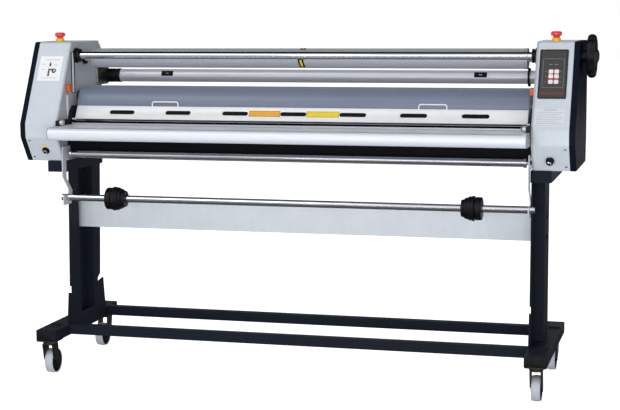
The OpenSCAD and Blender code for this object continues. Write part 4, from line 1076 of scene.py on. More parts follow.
@dataclass
class ControlPanel:
    """Black keypad on the right tower: film, frame line, six keys, marks and the speed knob."""

    middle_x: float = 900.5 * MM
    width: float = 94 * MM
    top: float = 30 * MM
    height: float = 178 * MM
    film: float = 0.35 * MM
    line: float = 0.9 * MM
    frame_w: float = 70 * MM
    frame_top: float = 64 * MM
    frame_h: float = 105 * MM
    knob_x: float = 900 * MM
    surface: float = 2.5 * MM
    keys: int = 6
    flutes: int = 18
    ticks: int = 11

    def build(self) -> None:
        """Make the panel's pieces."""
        eased("control_panel", PANEL_EDGE, 0.5 * MM)
        self.inner_film()
        self.frame_lines()
        for number in range(1, self.keys + 1):
            eased(f"key_{number}", KEY_WHITE, 0.7 * MM)
        self.marks()
        self.speed_knob()

    def flat(self, x: float, down: float, lift: float = 0.0) -> Matrix:
        """A frame on the panel's film."""
        return UPPER_SLOPE.at(self.middle_x + x, down, self.surface + lift)

    def inner_film(self) -> None:
        """Lay the lighter printed field inside the black border, with windows for the keys."""
        width, height = self.width - 12 * MM, self.height - 12 * MM
        middle = self.top + self.height / 2
        sheet = Work().plate(rounded_box(width, height, 2 * MM), self.film, self.flat(0, middle),
                             self.windows(middle))
        sheet.piece("panel_film", PANEL_FILM, "frame")

    def windows(self, middle: float) -> list[list[Point]]:
        """Outlines that leave the keys free, about a place on the panel.

        Args:
            middle: the place's distance down the slope.
        """
        holes = []
        for number in range(1, self.keys + 1):
            low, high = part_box(f"key_{number}")
            centre = (low + high) / 2
            x = centre.x - MIDDLE_X - self.middle_x
            down = (Vector((0, centre.y, centre.z)) - UPPER_SLOPE.edge).dot(UPPER_SLOPE.down)
            holes.append(moved(rounded_box(16 * MM, 15 * MM, 2 * MM, 3), x, middle - down))
        return holes

    def frame_lines(self) -> None:
        """Print the thin pale frame, the red lines between the keys and the red bar below."""
        middle = self.frame_top + self.frame_h / 2
        outer = rounded_box(self.frame_w, self.frame_h, 1.5 * MM)
        inner = rounded_box(self.frame_w - 2 * self.line, self.frame_h - 2 * self.line, 1 * MM)
        Work().plate(outer, PANEL_INK, self.flat(0, middle, self.film), [inner]).piece(
            "panel_frame_line", PANEL_LINE, "frame")
        bar = Work()
        for number in range(16):
            place = self.flat((number - 7.5) * 4.8 * MM - 0.5 * MM, 189 * MM, self.film)
            bar.plate(rounded_box(3.4 * MM, 3.4 * MM, 0.6 * MM), PANEL_INK, place)
        grid = moved(rounded_box(36.5 * MM, 55 * MM, 3 * MM), 1.2 * MM, 0)
        bar.plate(grid, PANEL_INK, self.flat(0, 129 * MM, self.film), self.windows(129 * MM))
        bar.piece("panel_red_lines", PANEL_RED, "frame")

    def marks(self) -> None:
        """Print two short pale bars over the keys and a lamp beside each row."""
        work = Work()
        for x in (-9.7 * MM, 8.3 * MM):
            work.plate(rounded_box(11 * MM, 2.2 * MM, 0.8 * MM), PANEL_INK, self.flat(x, 85 * MM, self.film))
        work.piece("panel_heading_bars", PANEL_LINE, "frame")
        for number, (x, down) in enumerate((x, down) for x in (-24 * MM, 24 * MM) for down in
                                           (110 * MM, 129 * MM, 148 * MM)):
            dome = turned_profile([(0, 1.7 * MM, 0), (0.8 * MM, 1.5 * MM, 0.4 * MM), (1.1 * MM, 0, 0)])
            Work().turned([(0, 0), *dome], self.flat(x, down, self.film), 20).piece(
                f"panel_lamp_{number + 1}", PANEL_LINE, "frame", smooth=60)

    def speed_knob(self) -> None:
        """Turn the fluted speed knob with its white pointer, partly a painted glint, and its scale ring."""
        low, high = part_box("speed_knob")
        down = LOWER_SLOPE.down
        centre = (low + high) / 2
        place_down = (Vector((0, centre.y, centre.z)) - LOWER_SLOPE.edge).dot(down)
        lay = LOWER_SLOPE.at(self.knob_x, place_down)
        profile = turned_profile([(-8 * MM, 0, 0), (-8 * MM, 3 * MM, 0), (0.6 * MM, 3 * MM, 0),
                                  (0.6 * MM, 14 * MM, 0.8 * MM), (4 * MM, 14 * MM, 0.8 * MM),
                                  (5 * MM, 11.5 * MM, 0.8 * MM), (16 * MM, 10.6 * MM, 1.2 * MM),
                                  (17 * MM, 9 * MM, 0.8 * MM), (17 * MM, 0, 0)])
        work = Work().turned(profile, lay, 60)
        for flute in range(self.flutes):
            turn = Matrix.Rotation(math.tau * flute / self.flutes, 4, "Z")
            work.box((10.4 * MM, -0.6 * MM, 5.5 * MM), (12.2 * MM, 0.6 * MM, 15 * MM), lay @ turn)
        work.piece("speed_knob_grip", BLACK_PLASTIC, "speed_dial", ["speed_knob"], 35)
        # the white pointer pieces are partly a painted glint on the black knob
        pointer = Work().plate(moved(rounded_box(7 * MM, 7 * MM, 2.5 * MM), -3 * MM, 3.5 * MM), 0.4 * MM,
                               lay @ Matrix.Translation((0, 0, 17 * MM)))
        pointer.box((3 * MM, -4 * MM, 17 * MM), (5 * MM, 5 * MM, 17.4 * MM), lay)
        pointer.box((-0.8 * MM, 13 * MM, 2 * MM), (0.8 * MM, 14.2 * MM, 3.9 * MM), lay)
        pointer.piece("speed_knob_pointer", KEY_WHITE, "speed_dial")
        scale = Work()
        for tick in range(self.ticks):
            turn = Matrix.Rotation(math.radians(135 - 27 * tick), 4, "Z")
            scale.box((-0.4 * MM, 16.5 * MM, 0), (0.4 * MM, 19.5 * MM, PANEL_INK), lay @ turn)
        scale.piece("speed_scale", PANEL_EDGE, "frame")


DIAGRAM_BLOCKS = ((-3.5, -16, 7, 30), (3, -4, 14, 6), (-1.5, 15, 7.5, 13), (-2.5, 25, 3, 5))
DIAGRAM_RULES = ((-26, 17, 16), (18, 16, 12), (-26, -4, 14), (0, -38, 64), (6, 34, 56), (24, 10, 9))


@dataclass
class Labels:
    """Plain cards and bands where the machine carries its stickers, with nothing written on them."""

    card_w: float = 88 * MM
    card_h: float = 98 * MM
    band_h: float = 23.5 * MM

    def build(self) -> None:
        """Stick on every label."""
        self.threading_card()
        self.settings_card()
        self.guard_bands()

    def threading_card(self) -> None:
        """White card on the left tower with a plain diagram of circles and a web line."""
        place = UPPER_SLOPE.at(-905.4 * MM, 105.5 * MM)
        sticker("threading_card", LABEL_WHITE, place, self.card_w, self.card_h, "frame")
        drawn = Work()
        on = place @ Matrix.Translation((0, 0, CARD_FILM))
        drawn.plate(arc((16 * MM, -9.5 * MM), 9 * MM, 0, 350, 35), CARD_INK, on,
                    [arc((17 * MM, -8.5 * MM), 3.2 * MM, 0, 340, 17)])
        for block in DIAGRAM_BLOCKS:
            x, y, width, height = (part * MM for part in block)
            drawn.plate(moved(rounded_box(width, height, 1 * MM, 3), x, y), CARD_INK, on)
        drawn.piece("threading_diagram", PANEL_EDGE, "frame")
        pale = Work()
        for rule in DIAGRAM_RULES:
            x, y, width = (part * MM for part in rule)
            pale.plate(moved(rounded_box(width, 1.6 * MM, 0.6 * MM, 3), x, y), CARD_INK, on)
        pale.piece("threading_rules", LABEL_GREY, "frame")

    def settings_card(self) -> None:
        """Pale ruled card on the right tower."""
        place = UPPER_SLOPE.at(899 * MM, 273 * MM)
        sticker("settings_card", LABEL_PALE, place, 106 * MM, 66 * MM, "frame")
        ruled = Work()
        on = place @ Matrix.Translation((0, 0, CARD_FILM))
        outer, inner = rounded_box(102 * MM, 62 * MM, 1.5 * MM), rounded_box(100.8 * MM, 60.8 * MM, 1 * MM)
        ruled.plate(outer, CARD_INK, on, [inner])
        ruled.plate(moved(rounded_box(44 * MM, 2.2 * MM, 0.8 * MM, 3), 0, 25 * MM), CARD_INK, on)
        for row in range(7):
            width = (88 - 9 * (row % 3)) * MM
            y = (17 - 6.6 * row) * MM
            rule = rounded_box(width, 1 * MM, 0.4 * MM, 3)
            ruled.plate(moved(rule, (width - 88 * MM) / 2, y), CARD_INK, on)
        ruled.piece("settings_rules", LABEL_GREY, "frame")

    def guard_bands(self) -> None:
        """Plain orange and yellow bands between the guard's middle slots."""
        for name, finish, low, high in (("orange_band", LABEL_ORANGE, -162 * MM, -47 * MM),
                                        ("yellow_band", LABEL_YELLOW, 47 * MM, 166 * MM)):
            place = GUARD_FACE.at((low + high) / 2, GUARD_FACE_SLOT, 0.05 * MM)
            sticker(name, finish, place, high - low, self.band_h, "guard", 1.5 * MM)
            inset = rounded_box(high - low - 6 * MM, self.band_h - 5 * MM, 1 * MM)
            rim = rounded_box(high - low - 4.6 * MM, self.band_h - 3.6 * MM, 1.4 * MM)
            on = place @ Matrix.Translation((0, 0, CARD_FILM))
            Work().plate(rim, CARD_INK, on, [inset]).piece(f"{name}_rim", PANEL_EDGE, "guard")


GUARD_LEAN = math.radians(30.4)
GUARD_PIVOT = joint_place("guard_swing")
GUARD_UP = Vector((0, math.sin(GUARD_LEAN), math.cos(GUARD_LEAN)))
GUARD_OUT = Vector((0, -math.cos(GUARD_LEAN), math.sin(GUARD_LEAN)))
GUARD_T = 2.5 * MM
GUARD_FACE = Slope(GUARD_PIVOT + GUARD_OUT * (GUARD_T / 2), GUARD_UP)
GUARD_FACE.out = GUARD_OUT
GUARD_FACE_SLOT = 28 * MM


@dataclass
class Rollers:
    """The pair of silicone rollers on their steel cores, and the pinion that drives them."""

    edge: float = 2.5 * MM
    wall: float = 10 * MM

    def build(self) -> None:
        """Make both rollers and dress their drive."""
        for level in ("upper", "lower"):
            self.sleeve(level)
            dress(f"{level}_roller_shaft", TURNED)
            self.end_discs(level)
        dress("drive_pinion", TURNED)

    def sleeve(self, level: str) -> None:
        """Turn a silicone sleeve with ground, rounded ends."""
        low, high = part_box(f"{level}_roller_sleeve")
        centre = (low + high) / 2
        radius, half = (high.z - low.z) / 2, (high.x - low.x) / 2
        straight = stations(-half + 2 * self.edge, 2 * half - 4 * self.edge, 16, radius)
        corners = [(-half, radius - self.wall, 0), (-half, radius, self.edge), *straight,
                   (half, radius, self.edge), (half, radius - self.wall, 0)]
        Work().ring(turned_profile(corners), toward(centre, ALONG), 128).piece(
            f"{level}_roller_silicone", SILICONE, f"{level}_roller", [f"{level}_roller_sleeve"], 50)

    def end_discs(self, level: str) -> None:
        """Face each end of the core with a turned disc that has a recessed ring."""
        low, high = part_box(f"{level}_roller_sleeve")
        centre = (low + high) / 2
        radius = (high.z - low.z) / 2 - self.wall - 0.5 * MM
        for way, word in ((-1, "left"), (1, "right")):
            end = toward(Vector((low.x if way < 0 else high.x, centre.y, centre.z)), ALONG * way)
            corners = [(-1 * MM, 17 * MM, 0), (1.5 * MM, 17 * MM, 0.8 * MM), (1.5 * MM, 26 * MM, 0.8 * MM),
                       (0.3 * MM, 28 * MM, 0.8 * MM), (0.3 * MM, 44 * MM, 0.8 * MM),
                       (1.5 * MM, 46 * MM, 0.8 * MM), (1.5 * MM, radius, 0.8 * MM), (-1 * MM, radius, 0)]
            Work().ring(turned_profile(corners), end, 64).piece(
                f"{level}_roller_{word}_disc", TURNED, f"{level}_roller")


@dataclass
class LiftDrive:
    """Bearing blocks with racks, the cross shaft and the lobed handwheel."""

    lobes: int = 8
    rim_half: float = 11.5 * MM
    rim_wide: float = 14.5 * MM
    rim_out: float = 34 * MM
    hub_r: float = 24 * MM
    rib_count: int = 5

    def build(self) -> None:
        """Make the lift's pieces."""
        dress("upper_bearing_blocks", TURNED)
        self.cross_shaft()
        self.handwheel()

    def cross_shaft(self) -> None:
        """Give the cross shaft its chrome and turn a black collar at each tower; its toothed ends stay as they
        are.
        """
        dress("cross_shaft", CHROME)
        axis = joint_place("handwheel_turn")
        for side in Side:
            lay = toward(Vector((MIDDLE_X + side.value * 838 * MM, axis.y, axis.z)), ALONG * -side.value)
            collar = turned_profile([(0, 13.2 * MM, 0), (0, 19 * MM, 1 * MM), (9 * MM, 19 * MM, 1 * MM),
                                     (9 * MM, 13.2 * MM, 0)])
            Work().ring(collar, lay, 48).piece(f"{side.word}_cross_collar", SCREW_BLACK, "lift_drive")

    def handwheel(self) -> None:
        """Model the moulded wheel: round lobed rim, dished web, five spokes, hub and cap."""
        low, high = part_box("handwheel")
        axis = joint_place("handwheel_turn")
        radius = (high.z - low.z) / 2
        start = toward(Vector((low.x, axis.y, axis.z)), ALONG, UP)
        self.rim(start, radius)
        self.centre(start, radius, high.x - low.x)

    def rim(self, start: Matrix, radius: float) -> None:
        """Spin the rim's round section and press the finger lobes into it."""
        mean = radius - self.rim_half - 0.5 * MM
        section = [(self.rim_out + self.rim_wide * math.cos(angle), mean + self.rim_half * math.sin(angle))
                   for angle in (math.tau * step / 24 for step in range(24))]
        work = Work().ring(section, Matrix.Identity(4), 160)
        for vert in work.bm.verts:
            turn = math.atan2(vert.co.y, vert.co.x)
            out = math.hypot(vert.co.x, vert.co.y)
            share = max(0.0, (out - mean + self.rim_half) / (2 * self.rim_half))
            drawn = 5 * MM * (1 - math.cos(self.lobes * turn)) / 2 * share
            vert.co.x *= (out - drawn) / out
            vert.co.y *= (out - drawn) / out
        bmesh.ops.transform(work.bm, matrix=start, verts=work.bm.verts)
        work.piece("handwheel_rim", BLACK_PLASTIC, "lift_drive", ["handwheel"], 60)

    def centre(self, start: Matrix, radius: float, length: float) -> None:
        """Build the hub, the domed web with its boss, and five low ribs on the web."""
        inner = radius - 2 * self.rim_half + 3 * MM
        boss = turned_profile([(0, 8 * MM, 0), (0, self.hub_r, 1 * MM), (17 * MM, self.hub_r, 2 * MM),
                               (24 * MM, 30 * MM, 4 * MM), (28 * MM, inner, 0), (41 * MM, inner, 0),
                               (47 * MM, 30 * MM, 6 * MM), (length - 5 * MM, 22 * MM, 4 * MM),
                               (length - 1 * MM, 14 * MM, 2 * MM), (length - 1 * MM, 0, 0)], 6)
        Work().turned(boss, start, 64).piece("handwheel_centre", BLACK_PLASTIC, "lift_drive", smooth=55)
        ribs = Work()
        for rib in range(self.rib_count):
            turn = Matrix.Rotation(math.tau * rib / self.rib_count, 4, "Z")
            ribs.box((20 * MM, -5 * MM, 38 * MM), (inner + 2 * MM, 5 * MM, 47 * MM), start @ turn)
        ribs.soften(2.5 * MM, 3).piece("handwheel_ribs", BLACK_PLASTIC, "lift_drive")
        cap = turned_profile([(length - 1.2 * MM, 11.5 * MM, 0), (length - 0.2 * MM, 9.5 * MM, 0.6 * MM),
                              (length, 0, 0)])
        Work().turned(cap, start, 40).piece("handwheel_cap", HUB_BLACK, "lift_drive")


@dataclass
class MediaPath:
    """Supply shaft, rear shaft, idler bar, and the media shaft with its two core chucks."""

    supply_r: float = 35 * MM
    pad_turn: float = 158
    grip_places: tuple[float, ...] = (1 * MM,)
    pad_places: tuple[float, ...] = (-576.5 * MM, 608.5 * MM)
    bore_r: float = 12.7 * MM
    window_in: float = 14.5 * MM

    def build(self) -> None:
        """Make every shaft on the web's way."""
        self.supply_shaft()
        self.rear_shaft()
        self.plain_shafts()
        for side in Side:
            self.chuck(side)
        eased("rear_brackets", BRACKET_ZINC, 0.8 * MM)
        eased("shaft_arms", ARM_GREY, 0.6 * MM)

    def supply_shaft(self) -> None:
        """Turn the supply tube with end rings and journals, and set grip strips in it."""
        low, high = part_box("supply_shaft")
        centre = (low + high) / 2
        half, end_x, journal_r = 798 * MM, 846 * MM, 12 * MM
        ring_r = self.supply_r + 1 * MM
        lay = toward(Vector((MIDDLE_X, centre.y, centre.z)), ALONG)
        straight = stations(-half + 12 * MM, 2 * half - 24 * MM, 12, self.supply_r)
        corners = [(-end_x, 0, 0), (-end_x, journal_r, 1 * MM), (-half, journal_r, 0),
                   (-half, ring_r, 1 * MM), (-half + 10 * MM, ring_r, 0.6 * MM),
                   (-half + 10 * MM, self.supply_r, 0), *straight, (half - 10 * MM, self.supply_r, 0),
                   (half - 10 * MM, ring_r, 0.6 * MM), (half, ring_r, 1 * MM),
                   (half, journal_r, 0), (end_x, journal_r, 1 * MM), (end_x, 0, 0)]
        Work().turned(turned_profile(corners, 3), lay, 96).piece("supply_tube", SHAFT_SILVER, "supply_roll",
                                                               ["supply_shaft"], 35)
        for number, x in enumerate(self.grip_places):
            self.grip_strip(number + 1, lay, x)
        rings = Work()
        for end in (-1, 1):
            ring = [(0, self.supply_r - 2 * MM, 0), (0, self.supply_r + 0.9 * MM, 1 * MM),
                    (11 * MM, self.supply_r + 0.9 * MM, 1 * MM), (11 * MM, self.supply_r - 2 * MM, 0)]
            place = toward(lay @ Vector((0, 0, end * (half + 0.4 * MM))), ALONG * -end)
            rings.ring(turned_profile(ring), place, 72)
        rings.piece("supply_end_rings", BLACK_PLASTIC, "supply_roll")

    def grip_strip(self, number: int, lay: Matrix, x: float) -> None:
        """Set three rubber grips round the tube at one place, each with a yellow wear stripe."""
        rubber, stripe = Work(), Work()
        for turn in range(3):
            for step in range(-3, 4):
                around = Matrix.Rotation(math.radians(209 + 120 * turn + 8 * step), 4, "Z")
                seat = lay @ around @ Matrix.Translation((self.supply_r - 1.4 * MM, 0, x + 0.8 * step * MM))
                rubber.box((0, -2.6 * MM, -10 * MM), (2.2 * MM, 2.6 * MM, 10 * MM), seat)
                if abs(step) < 3:
                    stripe.box((1.2 * MM, -2.6 * MM, -3.6 * MM), (2.5 * MM, 2.6 * MM, 4 * MM), seat)
        rubber.piece(f"grip_strip_{number}", PAD_BLACK, "supply_roll")
        stripe.piece(f"grip_stripe_{number}", LABEL_YELLOW, "supply_roll")

    def rear_shaft(self) -> None:
        """Turn the rear tube, its ribbed hub and brake disc, and wrap its two grip pads."""
        low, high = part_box("rear_shaft")
        axis = joint_place("rear_spin")
        lay = toward(Vector((MIDDLE_X, axis.y, axis.z)), ALONG)
        radius, hub_x, plate_x = 24 * MM, 828 * MM, 840 * MM
        tube_low, tube_high = -hub_x + 59 * MM, hub_x - 8 * MM
        straight = stations(tube_low + 8 * MM, tube_high - tube_low - 16 * MM, 12, radius)
        tube = [(tube_low, 0, 0), (tube_low, radius, 1 * MM), *straight, (tube_high, radius, 1 * MM),
                (tube_high, 0, 0)]
        Work().turned(turned_profile(tube), lay, 96).piece("rear_tube", REAR_SILVER, "rear_roll",
                                                         ["rear_shaft"], 35)
        ribs = [(-plate_x, 0, 0), (-plate_x, 10 * MM, 0.6 * MM), (-hub_x, 10 * MM, 0)]
        for rib in range(4):
            start = -hub_x + 1 * MM + rib * 7 * MM
            ribs += [(start, 22 * MM, 0.6 * MM), (start + 0.8 * MM, 26 * MM, 0.8 * MM),
                     (start + 4.6 * MM, 26 * MM, 0.8 * MM), (start + 5.4 * MM, 22 * MM, 0.6 * MM)]
        ribs += [(-hub_x + 30 * MM, 22 * MM, 0), (-hub_x + 30 * MM, 0, 0)]
        Work().turned(turned_profile(ribs, 3), lay, 64).piece("rear_hub_ribs", BLACK_PLASTIC, "rear_roll")
        hub = [(-hub_x + 30 * MM, 0, 0), (-hub_x + 30 * MM, 25.6 * MM, 1 * MM),
               (-hub_x + 38 * MM, 25.6 * MM, 0.6 * MM),
               (-hub_x + 39 * MM, 24 * MM, 0.5 * MM), (-hub_x + 42 * MM, 24 * MM, 0.5 * MM),
               (-hub_x + 43 * MM, 26 * MM, 0.6 * MM), (tube_low, 26 * MM, 1 * MM), (tube_low, 0, 0)]
        Work().turned(turned_profile(hub), lay, 64).piece("rear_hub_grip", BLACK_PLASTIC, "rear_roll")
        disc = [(tube_high, 0, 0), (tube_high, 30 * MM, 1 * MM), (tube_high + 3 * MM, 32 * MM, 1 * MM),
                (hub_x - 1 * MM, 32 * MM, 1 * MM), (hub_x, 28 * MM, 0.6 * MM), (hub_x, 10 * MM, 0),
                (plate_x, 10 * MM, 0.6 * MM), (plate_x, 0, 0)]
        Work().turned(turned_profile(disc), lay, 64).piece("rear_brake_disc", BLACK_PLASTIC, "rear_roll")
        ring = [(0, 23.5 * MM, 0), (0, 33.5 * MM, 1 * MM), (7 * MM, 33.5 * MM, 1 * MM),
                (7 * MM, 23.5 * MM, 0)]
        place = lay @ Matrix.Translation((0, 0, 776 * MM))
        Work().ring(turned_profile(ring), place, 64).piece("rear_end_ring", BLACK_PLASTIC, "rear_roll")
        for number, x in enumerate(self.pad_places):
            self.pad(number + 1, lay, x, radius)

    def pad(self, number: int, lay: Matrix, x: float, radius: float) -> None:
        """Lay a dark grip pad along the front of the rear tube, with two pale rivets."""
        work, rivets = Work(), Work()
        for step in range(5):
            turn = Matrix.Rotation(math.radians(self.pad_turn + 9 * (step - 2)), 4, "Z")
            seat = lay @ turn
            work.box((radius - 0.4 * MM, -2.2 * MM, x - 23 * MM),
                     (radius + 0.9 * MM, 2.2 * MM, x + 23 * MM), seat)
        for place in (-3 * MM, 3 * MM):
            turn = Matrix.Rotation(math.radians(self.pad_turn), 4, "Z")
            seat = lay @ turn @ Matrix.Translation((radius + 0.9 * MM, 0, x + place)) @ Matrix.Rotation(
                math.pi / 2, 4, "Y")
            rivets.turned([(0, 0), (0, 2.2 * MM), (0.5 * MM, 1.6 * MM), (0.6 * MM, 0)], seat, 16)
        work.piece(f"rear_pad_{number}", PAD_BLACK, "rear_roll")
        rivets.piece(f"rear_pad_rivets_{number}", BRACKET_ZINC, "rear_roll")

    def plain_shafts(self) -> None:
        """Turn the idler bar and the media shaft with chamfered ends and centre holes."""
        for node, joint, body, radius, collar in (
                ("lower_idler_bar", "idler_spin", "idler_roll", 14 * MM, 3 * MM),
                ("media_shaft", "media_spin", "media_roll", 12.5 * MM, 0)):
            low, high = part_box(node)
            axis = joint_place(joint)
            half = (high.x - low.x) / 2
            lay = toward(Vector(((low.x + high.x) / 2, axis.y, axis.z)), ALONG)
            ends = self.idler_end(half, radius, collar) if collar else self.shaft_end(half, radius)
            straight = [((step / 6 - 1) * (half - 60 * MM), radius, 0.0) for step in range(13)]
            corners = [*[(-along, out, fillet) for along, out, fillet in ends], *straight, *reversed(ends)]
            Work().turned(turned_profile(corners, 3), lay, 72).piece(
                f"{node}_turned", CHROME, body, [node], 35)

    @staticmethod
    def shaft_end(half: float, radius: float) -> list[tuple[float, float, float]]:
        """Half profile of a chamfered end with a centre hole and a ring groove."""
        return [(half - 3 * MM, 0, 0), (half, 3 * MM, 0), (half, radius - 1.2 * MM, 0.3 * MM),
                (half - 1.2 * MM, radius, 0.3 * MM), (half - 8 * MM, radius, 0.2 * MM),
                (half - 8 * MM, radius - 0.8 * MM, 0.2 * MM), (half - 9.4 * MM, radius - 0.8 * MM, 0.2 * MM),
                (half - 9.4 * MM, radius, 0.2 * MM)]

    @staticmethod
    def idler_end(half: float, radius: float, collar: float) -> list[tuple[float, float, float]]:
        """Half profile of a journal and an end collar."""
        face = 820 * MM
        return [(half, 0, 0), (half, 6 * MM, 0.5 * MM), (face, 6 * MM, 0), (face, radius + collar, 0.8 * MM),
                (face - 10 * MM, radius + collar, 0.8 * MM), (face - 10 * MM, radius, 0.2 * MM)]

    def chuck(self, side: Side) -> None:
        """Model a core chuck: stepped cone, clamping collar with windows, and its two screws."""
        word = side.word
        low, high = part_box(f"{word}_chuck")
        axis = joint_place("media_spin")
        middle = (low.x + high.x) / 2
        face = middle + side.value * ((high.x - low.x) / 2 - 25 * MM)
        lay = toward(Vector((face, axis.y, axis.z)), ALONG * -side.value, UP)
        ribs: list[tuple[float, float, float]] = [(0, self.bore_r, 0)]
        for rib in range(4):
            share = rib / 4
            out = 43.3 * MM * (1 - 0.48 * share ** 1.7)
            start = 45 * MM * share
            ribs += [(start, out * 0.97, 0.5 * MM), (start + 1.4 * MM, out, 1.2 * MM),
                     (start + 8.6 * MM, out * 0.96, 2.4 * MM), (start + 10.6 * MM, out * 0.93, 0.5 * MM)]
        ribs += [(45 * MM, 19 * MM, 1 * MM), (45 * MM, self.bore_r, 0)]
        Work().ring(turned_profile(ribs, 3), lay, 72).piece(f"{word}_chuck_cone", BLACK_PLASTIC,
                                                          f"{word}_core_chuck", [f"{word}_chuck"], 45)
        collar = [(0, self.bore_r, 0), (0, 32 * MM, 0), (-4 * MM, 32 * MM, 0.5 * MM),
                  (-4 * MM, 39 * MM, 2 * MM), (-25 * MM, 39 * MM, 3 * MM), (-25 * MM, self.bore_r, 0)]
        made = Work().ring(turned_profile(collar), lay, 72).piece(f"{word}_chuck_collar", BLACK_PLASTIC,
                                                                f"{word}_core_chuck", smooth=45)
        self.drill_collar(made, lay)
        bolt = [(25 * MM, 0), (25 * MM, 4 * MM), (38.2 * MM, 4 * MM), (39.2 * MM, 3 * MM), (39.2 * MM, 0)]
        screws = Work()
        for turn in (0.25, 0.75):
            seat = lay @ Matrix.Rotation(math.tau * turn, 4, "Z")
            screws.turned(bolt, seat @ Matrix.Translation((0, 0, -self.window_in))
                          @ Matrix.Rotation(math.pi / 2, 4, "Y"), 24)
        screws.piece(f"{word}_chuck_screws", SCREW_BLACK, f"{word}_core_chuck")

    def drill_collar(self, made: bpy.types.Object, lay: Matrix) -> None:
        """Cut the see-through windows through a chuck's collar."""
        cutter = Work()
        for way in (-28 * MM, 28 * MM):
            seat = lay @ Matrix.Translation((way, 0, -self.window_in)) @ Matrix.Rotation(math.pi / 2, 4, "X")
            cutter.turned([(-50 * MM, 0), (-50 * MM, 4.5 * MM), (50 * MM, 4.5 * MM), (50 * MM, 0)], seat, 24)
        carve(made, cutter)


def carve(made: bpy.types.Object, cutter: Work) -> None:
    """Take the cutter's shape out of a piece and keep the result as its mesh.

    Args:
        made: the piece.
        cutter: what is taken out.
    """
    bmesh.ops.recalc_face_normals(cutter.bm, faces=cutter.bm.faces)
    mesh = bpy.data.meshes.new("cutter")
    cutter.bm.to_mesh(mesh)
    cutter.bm.free()
    tool = bpy.data.objects.new("cutter", mesh)
    bpy.context.scene.collection.objects.link(tool)
    cut = made.modifiers.new("windows", "BOOLEAN")
    cut.object = tool
    cut.solver = "EXACT"
    bpy.context.view_layer.update()
    shaped = bpy.data.meshes.new_from_object(made.evaluated_get(bpy.context.evaluated_depsgraph_get()))
    made.modifiers.clear()
    made.data = shaped
    shaped.set_sharp_from_angle(angle=math.radians(40))
    bpy.data.objects.remove(tool)


@dataclass
class Guard:
    """The leaning slotted guard and its two wire handles."""

    handle_r: float = 2.5 * MM
    handle_w: float = 97 * MM
    handle_places: tuple[float, ...] = (-478.5 * MM, 490.5 * MM)
    bend: float = 8 * MM
    rise: float = 17.5 * MM
    half: float = 816 * MM
    tall: float = 53 * MM
    slots: int = 7
    slot_pitch: float = 213 * MM
    slot_l: float = 95 * MM
    slot_h: float = 16 * MM

    def build(self) -> None:
        """Make the guard's pieces."""
        self.panel()
        self.backing()
        for number, x in enumerate(self.handle_places):
            self.handle(number + 1, MIDDLE_X + x)

    def panel(self) -> None:
        """Cut the slotted sheet, with its cheeks and pivot pins."""
        flat = GUARD_FACE.at(0, 0, -GUARD_T)
        outline = [(-self.half, 0), (self.half, 0), (self.half, self.tall), (-self.half, self.tall)]
        slot = slot_outline(self.slot_l, self.slot_h)
        holes = [moved(slot, (number - (self.slots - 1) / 2) * self.slot_pitch, GUARD_FACE_SLOT)
                 for number in range(self.slots)]
        pivot = [(0, 0), (0, 3 * MM), (16.5 * MM, 3 * MM), (17 * MM, 2.5 * MM), (17 * MM, 0)]
        work = Work().plate(outline, GUARD_T, flat, holes)
        for way in (-1, 1):
            sides = sorted((way * self.half, way * (self.half - 2 * MM)))
            work.box((sides[0], -3 * MM, -8.7 * MM), (sides[1], 41 * MM, -0.05 * MM), flat)
            pin = toward(Vector((MIDDLE_X + way * self.half, GUARD_PIVOT.y, GUARD_PIVOT.z)), ALONG * way)
            work.turned(pivot, pin, 24)
        work.soften(0.5 * MM, 2, 50).piece("guard_sheet", GUARD_WHITE, "guard", ["guard_panel"], 30)

    def backing(self) -> None:
        """Lay a black strip behind the slots, partly painted shade for the dark seen through them."""
        back = GUARD_FACE.at(0, GUARD_FACE_SLOT, -GUARD_T - 1.2 * MM)
        reach = self.half - 22 * MM
        # the strip's black is partly painted shade seen through the slots
        Work().box((-reach, -12 * MM, 0), (reach, 12 * MM, 1.1 * MM), back).soften(0.3 * MM).piece(
            "guard_slot_backing", PAD_BLACK, "guard")

    def handle(self, number: int, x: float) -> None:
        """Bend one wire handle that stands on the guard's upper edge.

        Args:
            number: its number in the piece's name.
            x: its middle.
        """
        foot = GUARD_PIVOT + GUARD_UP * (self.tall - 1.5 * MM) + GUARD_OUT * (0.6 * MM)
        reach, crown = self.handle_w / 2, foot.z + self.rise
        path: list[Vector] = []
        for way in (-1, 1):
            leg = [Vector((x + way * reach, foot.y, foot.z + height)) for height in (0, 6 * MM)]
            turn = [Vector((x + way * (reach - self.bend + self.bend * math.sin(angle)), foot.y,
                            crown - self.bend + self.bend * math.cos(angle)))
                    for angle in (math.pi / 2 * (1 - step / 6) for step in range(7))]
            half = leg + turn
            path += half if way < 0 else list(reversed(half))
        Work().wire(path, self.handle_r, 16).piece(
            f"guard_handle_{number}", GUARD_WHITE, "guard", ["guard_handles"] if number == 1 else [], 60)


